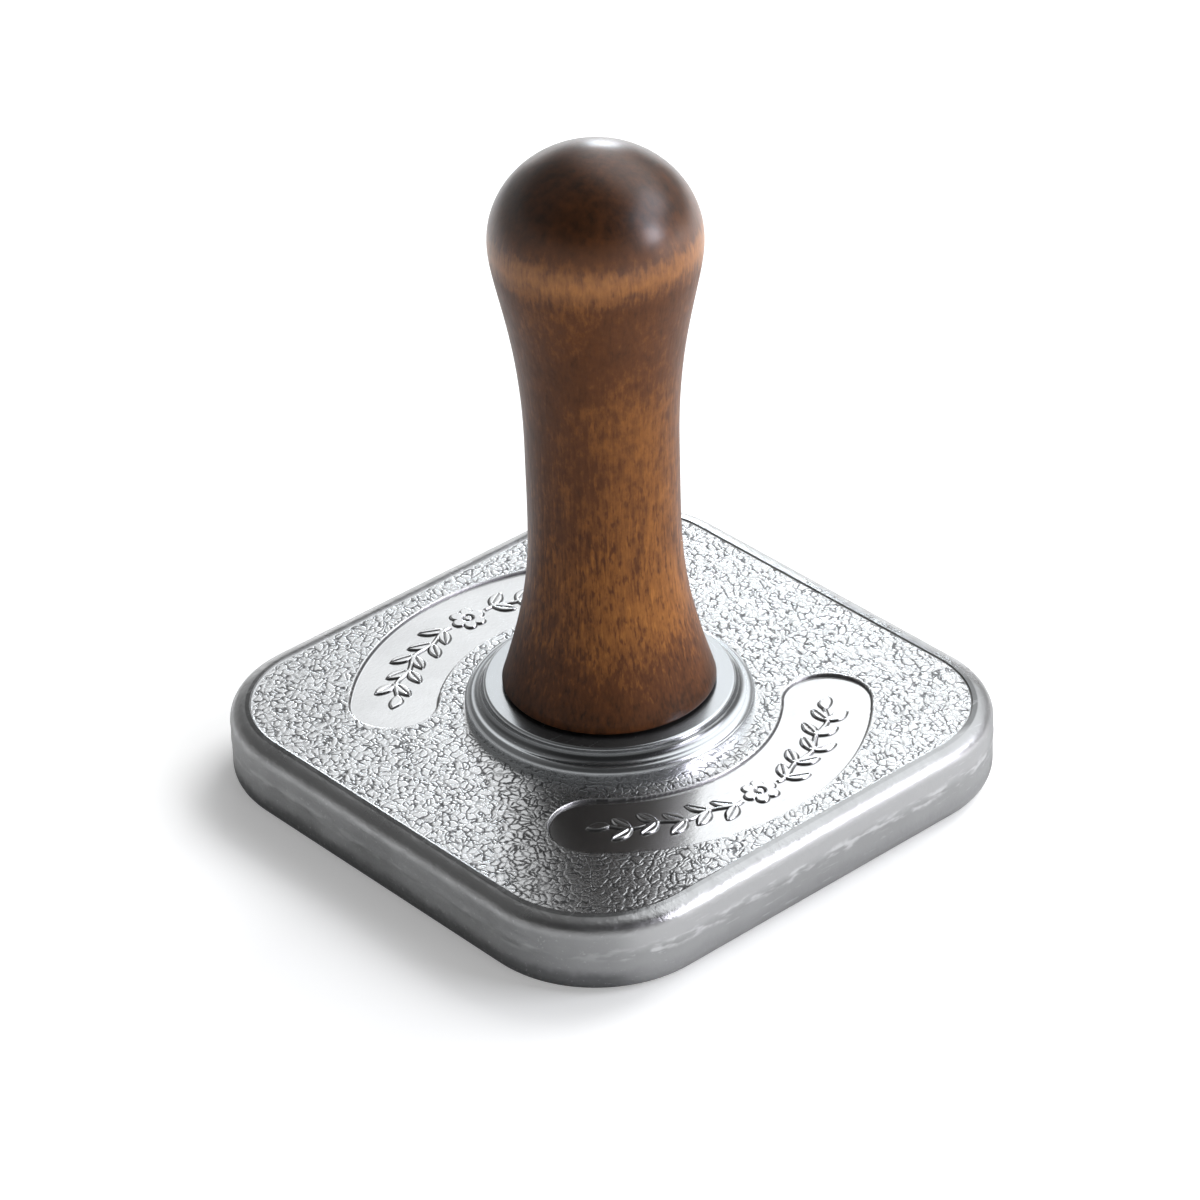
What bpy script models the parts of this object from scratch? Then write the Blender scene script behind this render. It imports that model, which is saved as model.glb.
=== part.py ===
# Cookie stamp: a square cast aluminium head and a turned hardwood handle that screws off it.
# Frame: +Z up, the sides along X and Y, the origin on the table under the middle of the stamping face.
# Lengths are in metres. The stamping face looks down, and only its flat rim touches the table.

import math

import bmesh
import bpy
from mathutils import Matrix, Vector
from mathutils.geometry import interpolate_bezier

MM = 0.001

# Clearances
SEAT_GAP = 0.3 * MM                 # between a piece and what it rests on or sits in
THREAD_CLEARANCE = 0.3 * MM         # round the stud, where the threads would interlock

# Plate of the head
PLATE_SIZE = 76.2 * MM              # over the flats, 3 inches
PLATE_THICKNESS = 9.9 * MM
PLATE_CORNER_RADIUS = 16.2 * MM
TOP_EDGE_RADIUS = 2.3 * MM
BOTTOM_EDGE_RADIUS = 2.1 * MM
LIP_WIDTH = 0.5 * MM                # flat band between the rounded edge and the crackled field
FIELD_SINK = 0.3 * MM
CAST_DRAFT = math.radians(10)       # slope of every cast wall, so that the casting leaves its mould

# Two smooth arc-shaped panels on the back, round the handle's axis
PANEL_RADIUS = 26.75 * MM           # to the middle of the band
PANEL_WIDTH = 11.3 * MM
PANEL_SWEEP = math.radians(92.6)    # between the centres of its round ends
PANEL_SINK = 0.4 * MM
PANEL_BEARINGS = (0.0, math.pi)

# Boss that carries the handle
BOSS_RADIUS = 15.6 * MM
BOSS_HEIGHT = 3.3 * MM              # seat above the plate's top
SHOULDER_RADIUS = 17.7 * MM
SHOULDER_HEIGHT = 2.0 * MM
SHOULDER_ROUND = 1.4 * MM
COVE_RADIUS = 0.6 * MM
SEAT_EDGE_ROUND = 0.25 * MM

# Screw joint, 1/4 in by 20 threads to the inch
THREAD_RADIUS = 3.175 * MM
THREAD_PITCH = 1.27 * MM
THREAD_TURNS = 6                    # turns that take the handle off
TAP_RUNOUT = 0.8 * MM               # hole beyond the tip of the stud
TAP_CHAMFER = 0.7 * MM
DRILL_POINT = math.radians(118)
STUD_CHAMFER = 0.6 * MM
STUD_TOP_INSET = 0.5 * MM           # stud ends this far inside the insert
HEX_ACROSS_FLATS = 3.175 * MM
HEX_DEPTH = 2.5 * MM

# Threaded insert in the handle
INSERT_RADIUS = 5.0 * MM            # over the barbs
INSERT_LENGTH = 12.7 * MM
BARB_DEPTH = 0.5 * MM
BARB_COUNT = 5
BARB_START = 0.3                    # shares of a barb's pitch: where its step begins and ends
BARB_CREST = 0.35
FLANGE_RADIUS = 6.4 * MM
FLANGE_THICKNESS = 1.0 * MM

# Washer under the handle's foot
WASHER_RADIUS = 11.6 * MM
WASHER_THICKNESS = 1.0 * MM
WASHER_HOLE_CLEARANCE = 0.6 * MM
WASHER_EDGE_ROUND = 0.25 * MM

# Handle, heights above its foot
FOOT_RADIUS = 13.2 * MM
FOOT_EDGE_ROUND = 0.35 * MM
FOOT_FLARE = math.radians(17.5)     # slope of the flare at the foot, from the upright
WAIST_RADIUS = 9.3 * MM
WAIST_HEIGHT = 33.2 * MM
KNOB_RADIUS = 12.75 * MM
KNOB_HEIGHT = 61.1 * MM             # of the widest place
KNOB_DOME = 11.6 * MM               # from the widest place to the top
FLARE_EASE = 0.43                   # how far the ends of a curve keep their slope, shares of its height
NECK_EASE = 0.56
KNOB_EASE = 0.18

# Stamping face
RIM_WIDTH = 3.0 * MM                # flat that the head rests on
FACE_DEPTH = 3.0 * MM
RELIEF_SINK = 0.4 * MM              # the relief stops this far above the rim's plane
RELIEF_OVERLAP = 0.3 * MM           # its solids start this far inside the plate, to fuse with it
BUTTON_RADIUS = 4.6 * MM
BUTTON_DOME = 0.9 * MM
PETAL_COUNT = 8
PETAL_RIB = 1.1 * MM                # width of an outline rib at its crest
PETAL_GAP = 1.6 * MM                # from the petals' crests to those inside and outside them
PETAL_FULLNESS = 0.57               # half width as a share of the half length
VEIN_FULLNESS = 0.26
VEIN_START = 0.36                   # shares of the leaf that the vein lies in
VEIN_SHARE = 0.34
RING_MARGIN = 9.0 * MM              # from the face's edge to the middle of the ring
RING_WIDTH = 1.5 * MM
BEAD_RADIUS = 1.4 * MM
BEAD_DOME = 0.4                     # its rounded crest's height, then its flat, as shares of the radius
BEAD_FLAT = 0.55
CREST_SOFTENING = 0.125             # of a leaf's crest, as a share of its width
SPRAY_GAP = 1.8 * MM                # between the crests of the corner sprays and of the ring or the rim
SPRAY_FULLNESS = 0.46
WING_LENGTH = 8.8 * MM              # of the leaf on each side of a corner spray
WING_FULLNESS = 0.34
WING_SPLAY = math.radians(8)        # of its root, from the diagonal
WING_TURN = math.radians(98)        # of its length, from the outward direction
SIDE_LEAF_GAP = 1.2 * MM            # from its crest to the bead's
SIDE_LEAF_LENGTH = 5.2 * MM
SIDE_LEAF_FULLNESS = 0.34

# Smoothness
SHARP_ANGLE = math.radians(32)
CORNER_STEPS = 8
EDGE_STEPS = 4
COVE_STEPS = 3
PANEL_STEPS = 12
PETAL_STEPS = 8
LEAF_STEPS = 6
VEIN_STEPS = 5
BEAD_STEPS = 10
CURVE_STEPS = 10
BOSS_STEPS = 56
HANDLE_STEPS = 44
SMALL_STEPS = 28

# Levels and radii that follow from the sizes above
PLATE_HALF = PLATE_SIZE / 2
FIELD_LEVEL = PLATE_THICKNESS - FIELD_SINK
SEAT_LEVEL = PLATE_THICKNESS + BOSS_HEIGHT
FOOT_LEVEL = SEAT_LEVEL + SEAT_GAP
WASHER_TOP = FOOT_LEVEL + WASHER_THICKNESS
INSERT_LEVEL = WASHER_TOP + SEAT_GAP
THREAD_LENGTH = THREAD_PITCH * THREAD_TURNS
STUD_TIP = SEAT_LEVEL - THREAD_LENGTH
STUD_TOP = INSERT_LEVEL + INSERT_LENGTH - STUD_TOP_INSET
TAP_RADIUS = THREAD_RADIUS + THREAD_CLEARANCE
TAP_BOTTOM = STUD_TIP - TAP_RUNOUT
FACE_HALF = PLATE_HALF - BOTTOM_EDGE_RADIUS - RIM_WIDTH
FACE_CORNER = PLATE_CORNER_RADIUS - BOTTOM_EDGE_RADIUS - RIM_WIDTH
RELIEF_ROOT = FACE_DEPTH + RELIEF_OVERLAP
RING_RADIUS = FACE_HALF - RING_MARGIN


def clear_scene():
    for thing in list(bpy.data.objects):
        bpy.data.objects.remove(thing, do_unlink=True)


def material(name, colour, roughness, metallic):
    finish = bpy.data.materials.new(name)
    finish.use_nodes = True
    shader = finish.node_tree.nodes["Principled BSDF"]
    shader.inputs["Base Color"].default_value = (*colour, 1.0)
    shader.inputs["Roughness"].default_value = roughness
    shader.inputs["Metallic"].default_value = metallic
    return finish


def to_object(name, bm, finish=None):
    bmesh.ops.remove_doubles(bm, verts=bm.verts, dist=0.0001 * MM)
    bmesh.ops.recalc_face_normals(bm, faces=bm.faces)
    mesh = bpy.data.meshes.new(name)
    bm.to_mesh(mesh)
    bm.free()
    thing = bpy.data.objects.new(name, mesh)
    bpy.context.collection.objects.link(thing)
    smooth(mesh)
    if finish:
        mesh.materials.append(finish)
    return thing


def smooth(mesh):
    mesh.shade_smooth()
    mesh.set_sharp_from_angle(angle=SHARP_ANGLE)


def combine(body, tool, operation):
    # One Boolean, worked out at once: the tool is used up.
    change = body.modifiers.new(operation.lower(), "BOOLEAN")
    change.operation = operation
    change.solver = "EXACT"
    change.use_self = True
    change.object = tool
    evaluated = body.evaluated_get(bpy.context.evaluated_depsgraph_get())
    mesh = bpy.data.meshes.new_from_object(evaluated)
    body.modifiers.remove(change)
    body.data = mesh
    bpy.data.objects.remove(tool, do_unlink=True)
    smooth(mesh)


def arc(centre, radius, start, end, steps):
    # Points of an arc in the profile plane, angles from the outward direction.
    points = []
    for step in range(steps + 1):
        angle = start + (end - start) * step / steps
        points.append((centre[0] + radius * math.cos(angle), centre[1] + radius * math.sin(angle)))
    return points


def curve(first, first_pull, last_pull, last, steps):
    # Points of a Bezier curve in the profile plane.
    corners = [Vector((point[0], point[1], 0.0)) for point in (first, first_pull, last_pull, last)]
    return [(point.x, point.y) for point in interpolate_bezier(*corners, steps + 1)]


def joined(*runs):
    # Runs of points in a row, without the points that two runs share.
    points = []
    for run in runs:
        for point in run:
            if not points or math.dist(points[-1], point) > 0.001 * MM:
                points.append(point)
    return points


def turned(name, profile, steps, finish=None):
    # A solid of revolution round Z, from (radius, height) points.
    bm = bmesh.new()
    verts = [bm.verts.new((radius, 0.0, height)) for radius, height in profile]
    edges = [bm.edges.new(pair) for pair in zip(verts, verts[1:])]
    on_axis = profile[0][0] == 0 and profile[-1][0] == 0
    if not on_axis:
        edges.append(bm.edges.new((verts[-1], verts[0])))
    bmesh.ops.spin(bm, geom=verts + edges, cent=(0, 0, 0), axis=(0, 0, 1), angle=math.tau,
                   steps=steps, use_merge=True)
    return to_object(name, bm, finish)


def drill_depth(radius):
    # Depth of the cone that a drill leaves under a hole of this radius.
    return radius / math.tan(DRILL_POINT / 2)


def rounded_square(half, corner, level):
    # Points of a square with round corners, anticlockwise from above.
    points = []
    for quarter in range(4):
        turn = Matrix.Rotation(quarter * math.pi / 2, 3, "Z")
        for x, y in arc((half - corner, half - corner), corner, 0.0, math.pi / 2, CORNER_STEPS):
            points.append(turn @ Vector((x, y, level)))
    return points


def skin(bm, loops):
    # Faces between loops of as many points each, with flat ends.
    rings = [[bm.verts.new(point) for point in loop] for loop in loops]
    for lower, upper in zip(rings, rings[1:]):
        for index in range(len(lower)):
            after = (index + 1) % len(lower)
            bm.faces.new((lower[index], lower[after], upper[after], upper[index]))
    bm.faces.new(list(reversed(rings[0])))
    bm.faces.new(rings[-1])


def leaf_outline(length, fullness, inset, level, steps):
    # A pointed leaf between two arcs, along X from the origin, drawn in by an inset.
    half_length = length / 2
    half_width = half_length * fullness
    radius = (half_length ** 2 + half_width ** 2) / (2 * half_width)
    offset = radius - half_width
    reach = math.asin(math.sqrt((radius - inset) ** 2 - offset ** 2) / (radius - inset))
    points = []
    for side in (1, -1):
        for step in range(steps):
            angle = side * (reach - 2 * reach * step / steps)
            x = half_length + (radius - inset) * math.sin(angle)
            y = side * ((radius - inset) * math.cos(angle) - offset)
            points.append(Vector((x, y, level)))
    return points


def crest_inset(depth):
    # How far a drafted wall leans in over this depth.
    return depth * math.tan(CAST_DRAFT)


def leaf(bm, place, length, fullness, steps, levels):
    # A leaf through (inset, level) pairs, its size given at no inset.
    loops = [[place @ point for point in leaf_outline(length, fullness, inset, level, steps)]
             for inset, level in levels]
    skin(bm, loops)


def raised_leaf(bm, place, length, fullness, steps):
    # Drafted walls and a softened crest.
    lean = crest_inset(RELIEF_ROOT - RELIEF_SINK)
    soften = length * fullness * CREST_SOFTENING
    levels = ((-lean, RELIEF_ROOT), (0.0, RELIEF_SINK + soften), (soften, RELIEF_SINK))
    leaf(bm, place, length, fullness, steps, levels)


def leaf_pocket(bm, place, length, fullness, steps):
    # The hollow inside a leaf's outline rib, down to the face's floor.
    margin = RELIEF_SINK / 2
    levels = ((PETAL_RIB - crest_inset(margin), RELIEF_SINK - margin),
              (PETAL_RIB + crest_inset(FACE_DEPTH - RELIEF_SINK), FACE_DEPTH))
    leaf(bm, place, length, fullness, steps, levels)


def bead(bm, place, radius):
    # A raised bead: a drafted foot and a domed crest.
    lean = crest_inset(RELIEF_ROOT - RELIEF_SINK)
    levels = ((radius + lean, RELIEF_ROOT), (radius, RELIEF_SINK + radius * BEAD_DOME),
              (radius * BEAD_FLAT, RELIEF_SINK))
    loops = []
    for ring, level in levels:
        circle = arc((0, 0), ring, 0, math.tau, BEAD_STEPS)[:-1]
        loops.append([place @ Vector((x, y, level)) for x, y in circle])
    skin(bm, loops)


def placed(radius, bearing, turn=0.0):
    # A place at a radius and bearing from the axis, with its X turned from the outward direction.
    outward = Matrix.Rotation(bearing, 4, "Z") @ Matrix.Translation((radius, 0, 0))
    return outward @ Matrix.Rotation(turn, 4, "Z")


def make_plate():
    # The rounded-square plate, as one run of loops from the face's floor round the edge to the field.
    floor_inset = PLATE_HALF - FACE_HALF + crest_inset(FACE_DEPTH)
    lip_inset = TOP_EDGE_RADIUS + LIP_WIDTH
    bottom_centre = (BOTTOM_EDGE_RADIUS, BOTTOM_EDGE_RADIUS)
    top_centre = (TOP_EDGE_RADIUS, PLATE_THICKNESS - TOP_EDGE_RADIUS)
    section = [(floor_inset, FACE_DEPTH), (PLATE_HALF - FACE_HALF, 0.0)]
    section += arc(bottom_centre, BOTTOM_EDGE_RADIUS, -math.pi / 2, -math.pi, EDGE_STEPS)
    section += arc(top_centre, TOP_EDGE_RADIUS, math.pi, math.pi / 2, EDGE_STEPS + 1)
    section += [(lip_inset, PLATE_THICKNESS), (lip_inset + crest_inset(FIELD_SINK), FIELD_LEVEL)]
    bm = bmesh.new()
    skin(bm, [rounded_square(PLATE_HALF - inset, PLATE_CORNER_RADIUS - inset, level)
              for inset, level in section])
    return to_object("stamp_head", bm)


def panel_outline(inset, level, bearing):
    # An arc band with round ends, drawn in by an inset.
    half_width = PANEL_WIDTH / 2 - inset
    half_sweep = PANEL_SWEEP / 2
    points = []
    for x, y in arc((0, 0), PANEL_RADIUS + half_width, -half_sweep, half_sweep, PANEL_STEPS):
        points.append((x, y))
    for end, start_angle in ((half_sweep, half_sweep), (-half_sweep, -half_sweep + math.pi)):
        centre = (PANEL_RADIUS * math.cos(end), PANEL_RADIUS * math.sin(end))
        cap = arc(centre, half_width, start_angle, start_angle + math.pi, CORNER_STEPS)
        points.extend(cap[1:-1])
        if end > 0:
            points.extend(arc((0, 0), PANEL_RADIUS - half_width, half_sweep, -half_sweep, PANEL_STEPS))
    turn = Matrix.Rotation(bearing, 3, "Z")
    return [turn @ Vector((x, y, level)) for x, y in points]


def cut_panels(head):
    bm = bmesh.new()
    above = FIELD_LEVEL + PANEL_SINK
    below = FIELD_LEVEL - PANEL_SINK
    for bearing in PANEL_BEARINGS:
        loops = [panel_outline(crest_inset(PANEL_SINK), below, bearing),
                 panel_outline(-crest_inset(PANEL_SINK), above, bearing)]
        skin(bm, loops)
    combine(head, to_object("panel_cutter", bm), "DIFFERENCE")


def add_boss(head):
    # The turned boss: a rounded shoulder, a cove and a flat seat.
    shoulder_top = PLATE_THICKNESS + SHOULDER_HEIGHT
    round_centre = (SHOULDER_RADIUS - SHOULDER_ROUND, shoulder_top - SHOULDER_ROUND)
    cove_centre = (BOSS_RADIUS + COVE_RADIUS, shoulder_top + COVE_RADIUS)
    edge_centre = (BOSS_RADIUS - SEAT_EDGE_ROUND, SEAT_LEVEL - SEAT_EDGE_ROUND)
    root = (FIELD_LEVEL + FACE_DEPTH) / 2
    profile = joined([(0.0, root), (SHOULDER_RADIUS, root)],
                     arc(round_centre, SHOULDER_ROUND, 0.0, math.pi / 2, EDGE_STEPS),
                     arc(cove_centre, COVE_RADIUS, -math.pi / 2, -math.pi, COVE_STEPS),
                     arc(edge_centre, SEAT_EDGE_ROUND, 0.0, math.pi / 2, COVE_STEPS),
                     [(0.0, SEAT_LEVEL)])
    combine(head, turned("boss", profile, BOSS_STEPS), "UNION")


def cut_tapped_hole(head):
    mouth = TAP_RADIUS + TAP_CHAMFER
    above = SEAT_LEVEL + TAP_CHAMFER
    profile = [(0.0, TAP_BOTTOM - drill_depth(TAP_RADIUS)), (TAP_RADIUS, TAP_BOTTOM),
               (TAP_RADIUS, SEAT_LEVEL - TAP_CHAMFER), (mouth, SEAT_LEVEL), (mouth, above), (0.0, above)]
    combine(head, turned("tapped_hole_cutter", profile, SMALL_STEPS), "DIFFERENCE")


def add_relief(head):
    # The raised pattern of the stamping face: a rosette in a ring, corner sprays and side leaves.
    petal_root = BUTTON_RADIUS + PETAL_GAP
    petal_length = RING_RADIUS - RING_WIDTH / 2 - PETAL_GAP - petal_root
    spray_root = RING_RADIUS + RING_WIDTH / 2 + SPRAY_GAP
    corner_reach = (FACE_HALF - FACE_CORNER) * math.sqrt(2) + FACE_CORNER
    spray_length = corner_reach - SPRAY_GAP - spray_root
    petals = [placed(petal_root, math.tau * (index + 0.5) / PETAL_COUNT) for index in range(PETAL_COUNT)]
    sprays = [placed(spray_root, math.tau * (index + 0.5) / 4) for index in range(4)]
    outlined = [(place, petal_length, PETAL_FULLNESS, PETAL_STEPS) for place in petals]
    outlined += [(place, spray_length, SPRAY_FULLNESS, LEAF_STEPS) for place in sprays]
    solids = bmesh.new()
    pockets = bmesh.new()
    veins = bmesh.new()
    for place, length, fullness, steps in outlined:
        raised_leaf(solids, place, length, fullness, steps)
        leaf_pocket(pockets, place, length, fullness, steps)
        vein = place @ Matrix.Translation((length * VEIN_START, 0, 0))
        raised_leaf(veins, vein, length * VEIN_SHARE, VEIN_FULLNESS, VEIN_STEPS)
    bead_place = petal_root + petal_length - BEAD_RADIUS
    for index in range(PETAL_COUNT):
        bead(solids, placed(bead_place, math.tau * index / PETAL_COUNT), BEAD_RADIUS)
    add_border_leaves(solids)
    combine(head, to_object("leaves", solids), "UNION")
    combine(head, to_object("pockets", pockets), "DIFFERENCE")
    combine(head, to_object("veins", veins), "UNION")
    add_ring(head)
    add_button(head)


def add_border_leaves(bm):
    # Two leaves beside each corner spray, and a bead between two leaves on each side.
    band_middle = (RING_RADIUS + RING_WIDTH / 2 + FACE_HALF) / 2
    for index in range(4):
        bearing = math.tau * index / 4
        bead(bm, placed(band_middle, bearing), BEAD_RADIUS)
        for side in (1, -1):
            wing = placed(band_middle, bearing + math.pi / 4 + side * WING_SPLAY, side * WING_TURN)
            raised_leaf(bm, wing, WING_LENGTH, WING_FULLNESS, LEAF_STEPS)
            beside_bead = Matrix.Translation((0, side * (BEAD_RADIUS + SIDE_LEAF_GAP), 0))
            along_side = Matrix.Rotation(side * math.pi / 2, 4, "Z")
            side_leaf = placed(band_middle, bearing) @ beside_bead @ along_side
            raised_leaf(bm, side_leaf, SIDE_LEAF_LENGTH, SIDE_LEAF_FULLNESS, VEIN_STEPS)


def add_ring(head):
    lean = crest_inset(RELIEF_ROOT - RELIEF_SINK)
    inner = RING_RADIUS - RING_WIDTH / 2
    outer = RING_RADIUS + RING_WIDTH / 2
    profile = [(inner - lean, RELIEF_ROOT), (inner, RELIEF_SINK),
               (outer, RELIEF_SINK), (outer + lean, RELIEF_ROOT)]
    combine(head, turned("ring", profile, HANDLE_STEPS), "UNION")


def add_button(head):
    lean = crest_inset(RELIEF_ROOT - RELIEF_SINK)
    sphere = (BUTTON_RADIUS ** 2 + BUTTON_DOME ** 2) / (2 * BUTTON_DOME)
    reach = math.asin(BUTTON_RADIUS / sphere)
    dome = arc((0.0, RELIEF_SINK + sphere), sphere, -math.pi / 2, -math.pi / 2 + reach, EDGE_STEPS)
    foot = [(BUTTON_RADIUS + lean, RELIEF_ROOT), (0.0, RELIEF_ROOT)]
    profile = joined([(0.0, RELIEF_SINK)], dome[1:], foot)
    combine(head, turned("button", profile, SMALL_STEPS), "UNION")


def make_head(finish):
    head = make_plate()
    cut_panels(head)
    add_boss(head)
    add_relief(head)
    cut_tapped_hole(head)
    head.data.materials.clear()
    head.data.materials.append(finish)
    return head


def handle_outline():
    # The turned outline from the top of the knob down to the edge of the foot.
    top = FOOT_LEVEL + KNOB_HEIGHT + KNOB_DOME
    widest = (KNOB_RADIUS, FOOT_LEVEL + KNOB_HEIGHT)
    waist = (WAIST_RADIUS, FOOT_LEVEL + WAIST_HEIGHT)
    foot = (FOOT_RADIUS, FOOT_LEVEL + FOOT_EDGE_ROUND)
    dome = [(0.0, top)]
    for step in range(1, CURVE_STEPS):
        angle = math.pi / 2 * (1 - step / CURVE_STEPS)
        dome.append((KNOB_RADIUS * math.cos(angle), widest[1] + (top - widest[1]) * math.sin(angle)))
    neck_height = KNOB_HEIGHT - WAIST_HEIGHT
    flare_height = WAIST_HEIGHT - FOOT_EDGE_ROUND
    neck = curve(widest, (widest[0], widest[1] - KNOB_EASE * neck_height),
                 (waist[0], waist[1] + NECK_EASE * neck_height), waist, CURVE_STEPS)
    flare_pull = FLARE_EASE * flare_height
    flare = curve(waist, (waist[0], waist[1] - flare_pull),
                  (foot[0] - flare_pull * math.tan(FOOT_FLARE), foot[1] + flare_pull), foot, CURVE_STEPS)
    edge = [(FOOT_RADIUS - FOOT_EDGE_ROUND, FOOT_LEVEL)]
    return joined(dome, neck, flare, edge)


def handle_bore():
    # The stepped blind hole, from the foot up: the washer's recess, the flange's seat, the insert's bore.
    recess = WASHER_RADIUS + SEAT_GAP
    seat = FLANGE_RADIUS + SEAT_GAP
    bore = INSERT_RADIUS + SEAT_GAP
    seat_level = INSERT_LEVEL + FLANGE_THICKNESS + SEAT_GAP
    bore_level = INSERT_LEVEL + INSERT_LENGTH + SEAT_GAP
    return [(recess, FOOT_LEVEL), (recess, INSERT_LEVEL), (seat, INSERT_LEVEL), (seat, seat_level),
            (bore, seat_level), (bore, bore_level), (0.0, bore_level + drill_depth(bore))]


def make_handle(finish):
    return turned("handle", joined(handle_outline(), handle_bore()), HANDLE_STEPS, finish)


def make_washer(finish):
    hole = THREAD_RADIUS + WASHER_HOLE_CLEARANCE
    rim = WASHER_RADIUS - WASHER_EDGE_ROUND
    profile = [(hole, FOOT_LEVEL), (rim, FOOT_LEVEL), (WASHER_RADIUS, FOOT_LEVEL + WASHER_EDGE_ROUND),
               (WASHER_RADIUS, WASHER_TOP - WASHER_EDGE_ROUND), (rim, WASHER_TOP), (hole, WASHER_TOP)]
    return turned("foot_washer", profile, HANDLE_STEPS, finish)


def make_insert(finish):
    # A flanged insert: its barbs taper upwards, so that they go into the wood and stay there.
    hole = THREAD_RADIUS + THREAD_CLEARANCE
    root = INSERT_RADIUS - BARB_DEPTH
    barbs_from = INSERT_LEVEL + FLANGE_THICKNESS
    pitch = (INSERT_LENGTH - FLANGE_THICKNESS) / BARB_COUNT
    profile = [(hole, INSERT_LEVEL), (FLANGE_RADIUS, INSERT_LEVEL),
               (FLANGE_RADIUS, barbs_from), (root, barbs_from)]
    for index in range(BARB_COUNT):
        level = barbs_from + index * pitch
        profile.append((root, level + pitch * BARB_START))
        profile.append((INSERT_RADIUS, level + pitch * BARB_CREST))
        profile.append((root, level + pitch))
    profile.append((hole, INSERT_LEVEL + INSERT_LENGTH))
    return turned("threaded_insert", profile, SMALL_STEPS, finish)


def make_stud(finish):
    # A set screw: chamfered ends and a hexagon socket in the tip that enters the head.
    neck = THREAD_RADIUS - STUD_CHAMFER
    profile = [(0.0, STUD_TIP), (neck, STUD_TIP), (THREAD_RADIUS, STUD_TIP + STUD_CHAMFER),
               (THREAD_RADIUS, STUD_TOP - STUD_CHAMFER), (neck, STUD_TOP), (0.0, STUD_TOP)]
    stud = turned("stud", profile, SMALL_STEPS, finish)
    across_corners = HEX_ACROSS_FLATS / math.cos(math.pi / 6)
    bm = bmesh.new()
    bmesh.ops.create_cone(bm, cap_ends=True, segments=6, radius1=across_corners / 2,
                          radius2=across_corners / 2, depth=2 * HEX_DEPTH,
                          matrix=Matrix.Translation((0, 0, STUD_TIP)))
    combine(stud, to_object("hex_cutter", bm), "DIFFERENCE")
    stud.data.materials.clear()
    stud.data.materials.append(finish)
    return stud


def empty(name, level, parent=None):
    # A point on the handle's axis that pieces hang on.
    thing = bpy.data.objects.new(name, None)
    bpy.context.collection.objects.link(thing)
    hang(thing, level, parent)
    return thing


def hang(thing, level, parent):
    # Gives a thing its parent, with its own origin on the axis at this level.
    thing.parent = parent
    thing.location = (0, 0, level - (parent.matrix_world.translation.z if parent else 0.0))
    bpy.context.view_layer.update()


def place_on_axis(piece, level, parent):
    # The piece was made in place: its origin moves onto its level of the axis, and the shape stays.
    piece.data.transform(Matrix.Translation((0, 0, -level)))
    hang(piece, level, parent)


def main():
    clear_scene()
    aluminium = material("cast_aluminium", (0.62, 0.63, 0.64), 0.32, 1.0)
    wood = material("stained_hardwood", (0.105, 0.038, 0.014), 0.38, 0.0)
    rubber = material("black_rubber", (0.012, 0.012, 0.013), 0.6, 0.0)
    brass = material("brass", (0.72, 0.52, 0.22), 0.3, 1.0)
    steel = material("zinc_plated_steel", (0.55, 0.56, 0.58), 0.3, 1.0)
    make_head(aluminium)
    turning = empty("handle_turn", SEAT_LEVEL)
    rising = empty("handle_rise", SEAT_LEVEL, turning)
    place_on_axis(make_washer(rubber), FOOT_LEVEL, turning)
    place_on_axis(make_handle(wood), FOOT_LEVEL, rising)
    place_on_axis(make_insert(brass), INSERT_LEVEL, rising)
    place_on_axis(make_stud(steel), INSERT_LEVEL, rising)


main()
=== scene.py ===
import math

import bmesh
import bpy
from mathutils import Matrix, Vector, noise


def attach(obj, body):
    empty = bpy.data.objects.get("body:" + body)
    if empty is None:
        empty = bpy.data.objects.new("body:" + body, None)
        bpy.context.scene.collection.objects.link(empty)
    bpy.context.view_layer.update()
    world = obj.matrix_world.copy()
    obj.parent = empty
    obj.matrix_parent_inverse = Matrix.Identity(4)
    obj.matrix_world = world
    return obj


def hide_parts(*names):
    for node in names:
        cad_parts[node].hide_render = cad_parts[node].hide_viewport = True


# A cookie stamp: cast aluminium head, turned and stained hardwood handle, screwed together.
# Lengths in the dictionaries are in mm, and everything is built in the frame's own place.

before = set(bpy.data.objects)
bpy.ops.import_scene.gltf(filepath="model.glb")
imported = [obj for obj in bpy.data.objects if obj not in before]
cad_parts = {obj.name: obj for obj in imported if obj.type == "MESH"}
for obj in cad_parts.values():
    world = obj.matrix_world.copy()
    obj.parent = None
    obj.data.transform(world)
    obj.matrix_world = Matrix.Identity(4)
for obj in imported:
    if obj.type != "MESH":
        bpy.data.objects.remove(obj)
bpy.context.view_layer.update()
mm = 0.001
print("frame loaded:", ", ".join(sorted(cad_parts)))


# Small helpers for shapes.

def ease(value, low, high):
    # 0 below low, 1 above high, and a smooth rise between them
    share = min(max((value - low) / (high - low), 0.0), 1.0)
    return share * share * (3 - 2 * share)


def arcPoints(centre, radius, start, end, steps):
    # (radius, height) points of an arc, angles in degrees from the outward direction
    points = []
    for step in range(steps + 1):
        angle = math.radians(start + (end - start) * step / steps)
        points.append((centre[0] + radius * math.cos(angle), centre[1] + radius * math.sin(angle)))
    return points


def bendPoints(first, firstPull, lastPull, last, steps):
    # (radius, height) points of a Bezier curve
    points = []
    for step in range(steps + 1):
        t = step / steps
        weights = ((1 - t) ** 3, 3 * t * (1 - t) ** 2, 3 * t * t * (1 - t), t ** 3)
        corners = (first, firstPull, lastPull, last)
        points.append(tuple(sum(w * c[axis] for w, c in zip(weights, corners)) for axis in (0, 1)))
    return points


def circleLoop(radius, height, count):
    # a level ring of points; radius may be a function of the angle
    loop = []
    for index in range(count):
        angle = math.tau * index / count
        reach = radius(angle) if callable(radius) else radius
        loop.append(Vector((reach * math.cos(angle), reach * math.sin(angle), height)))
    return loop


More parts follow.
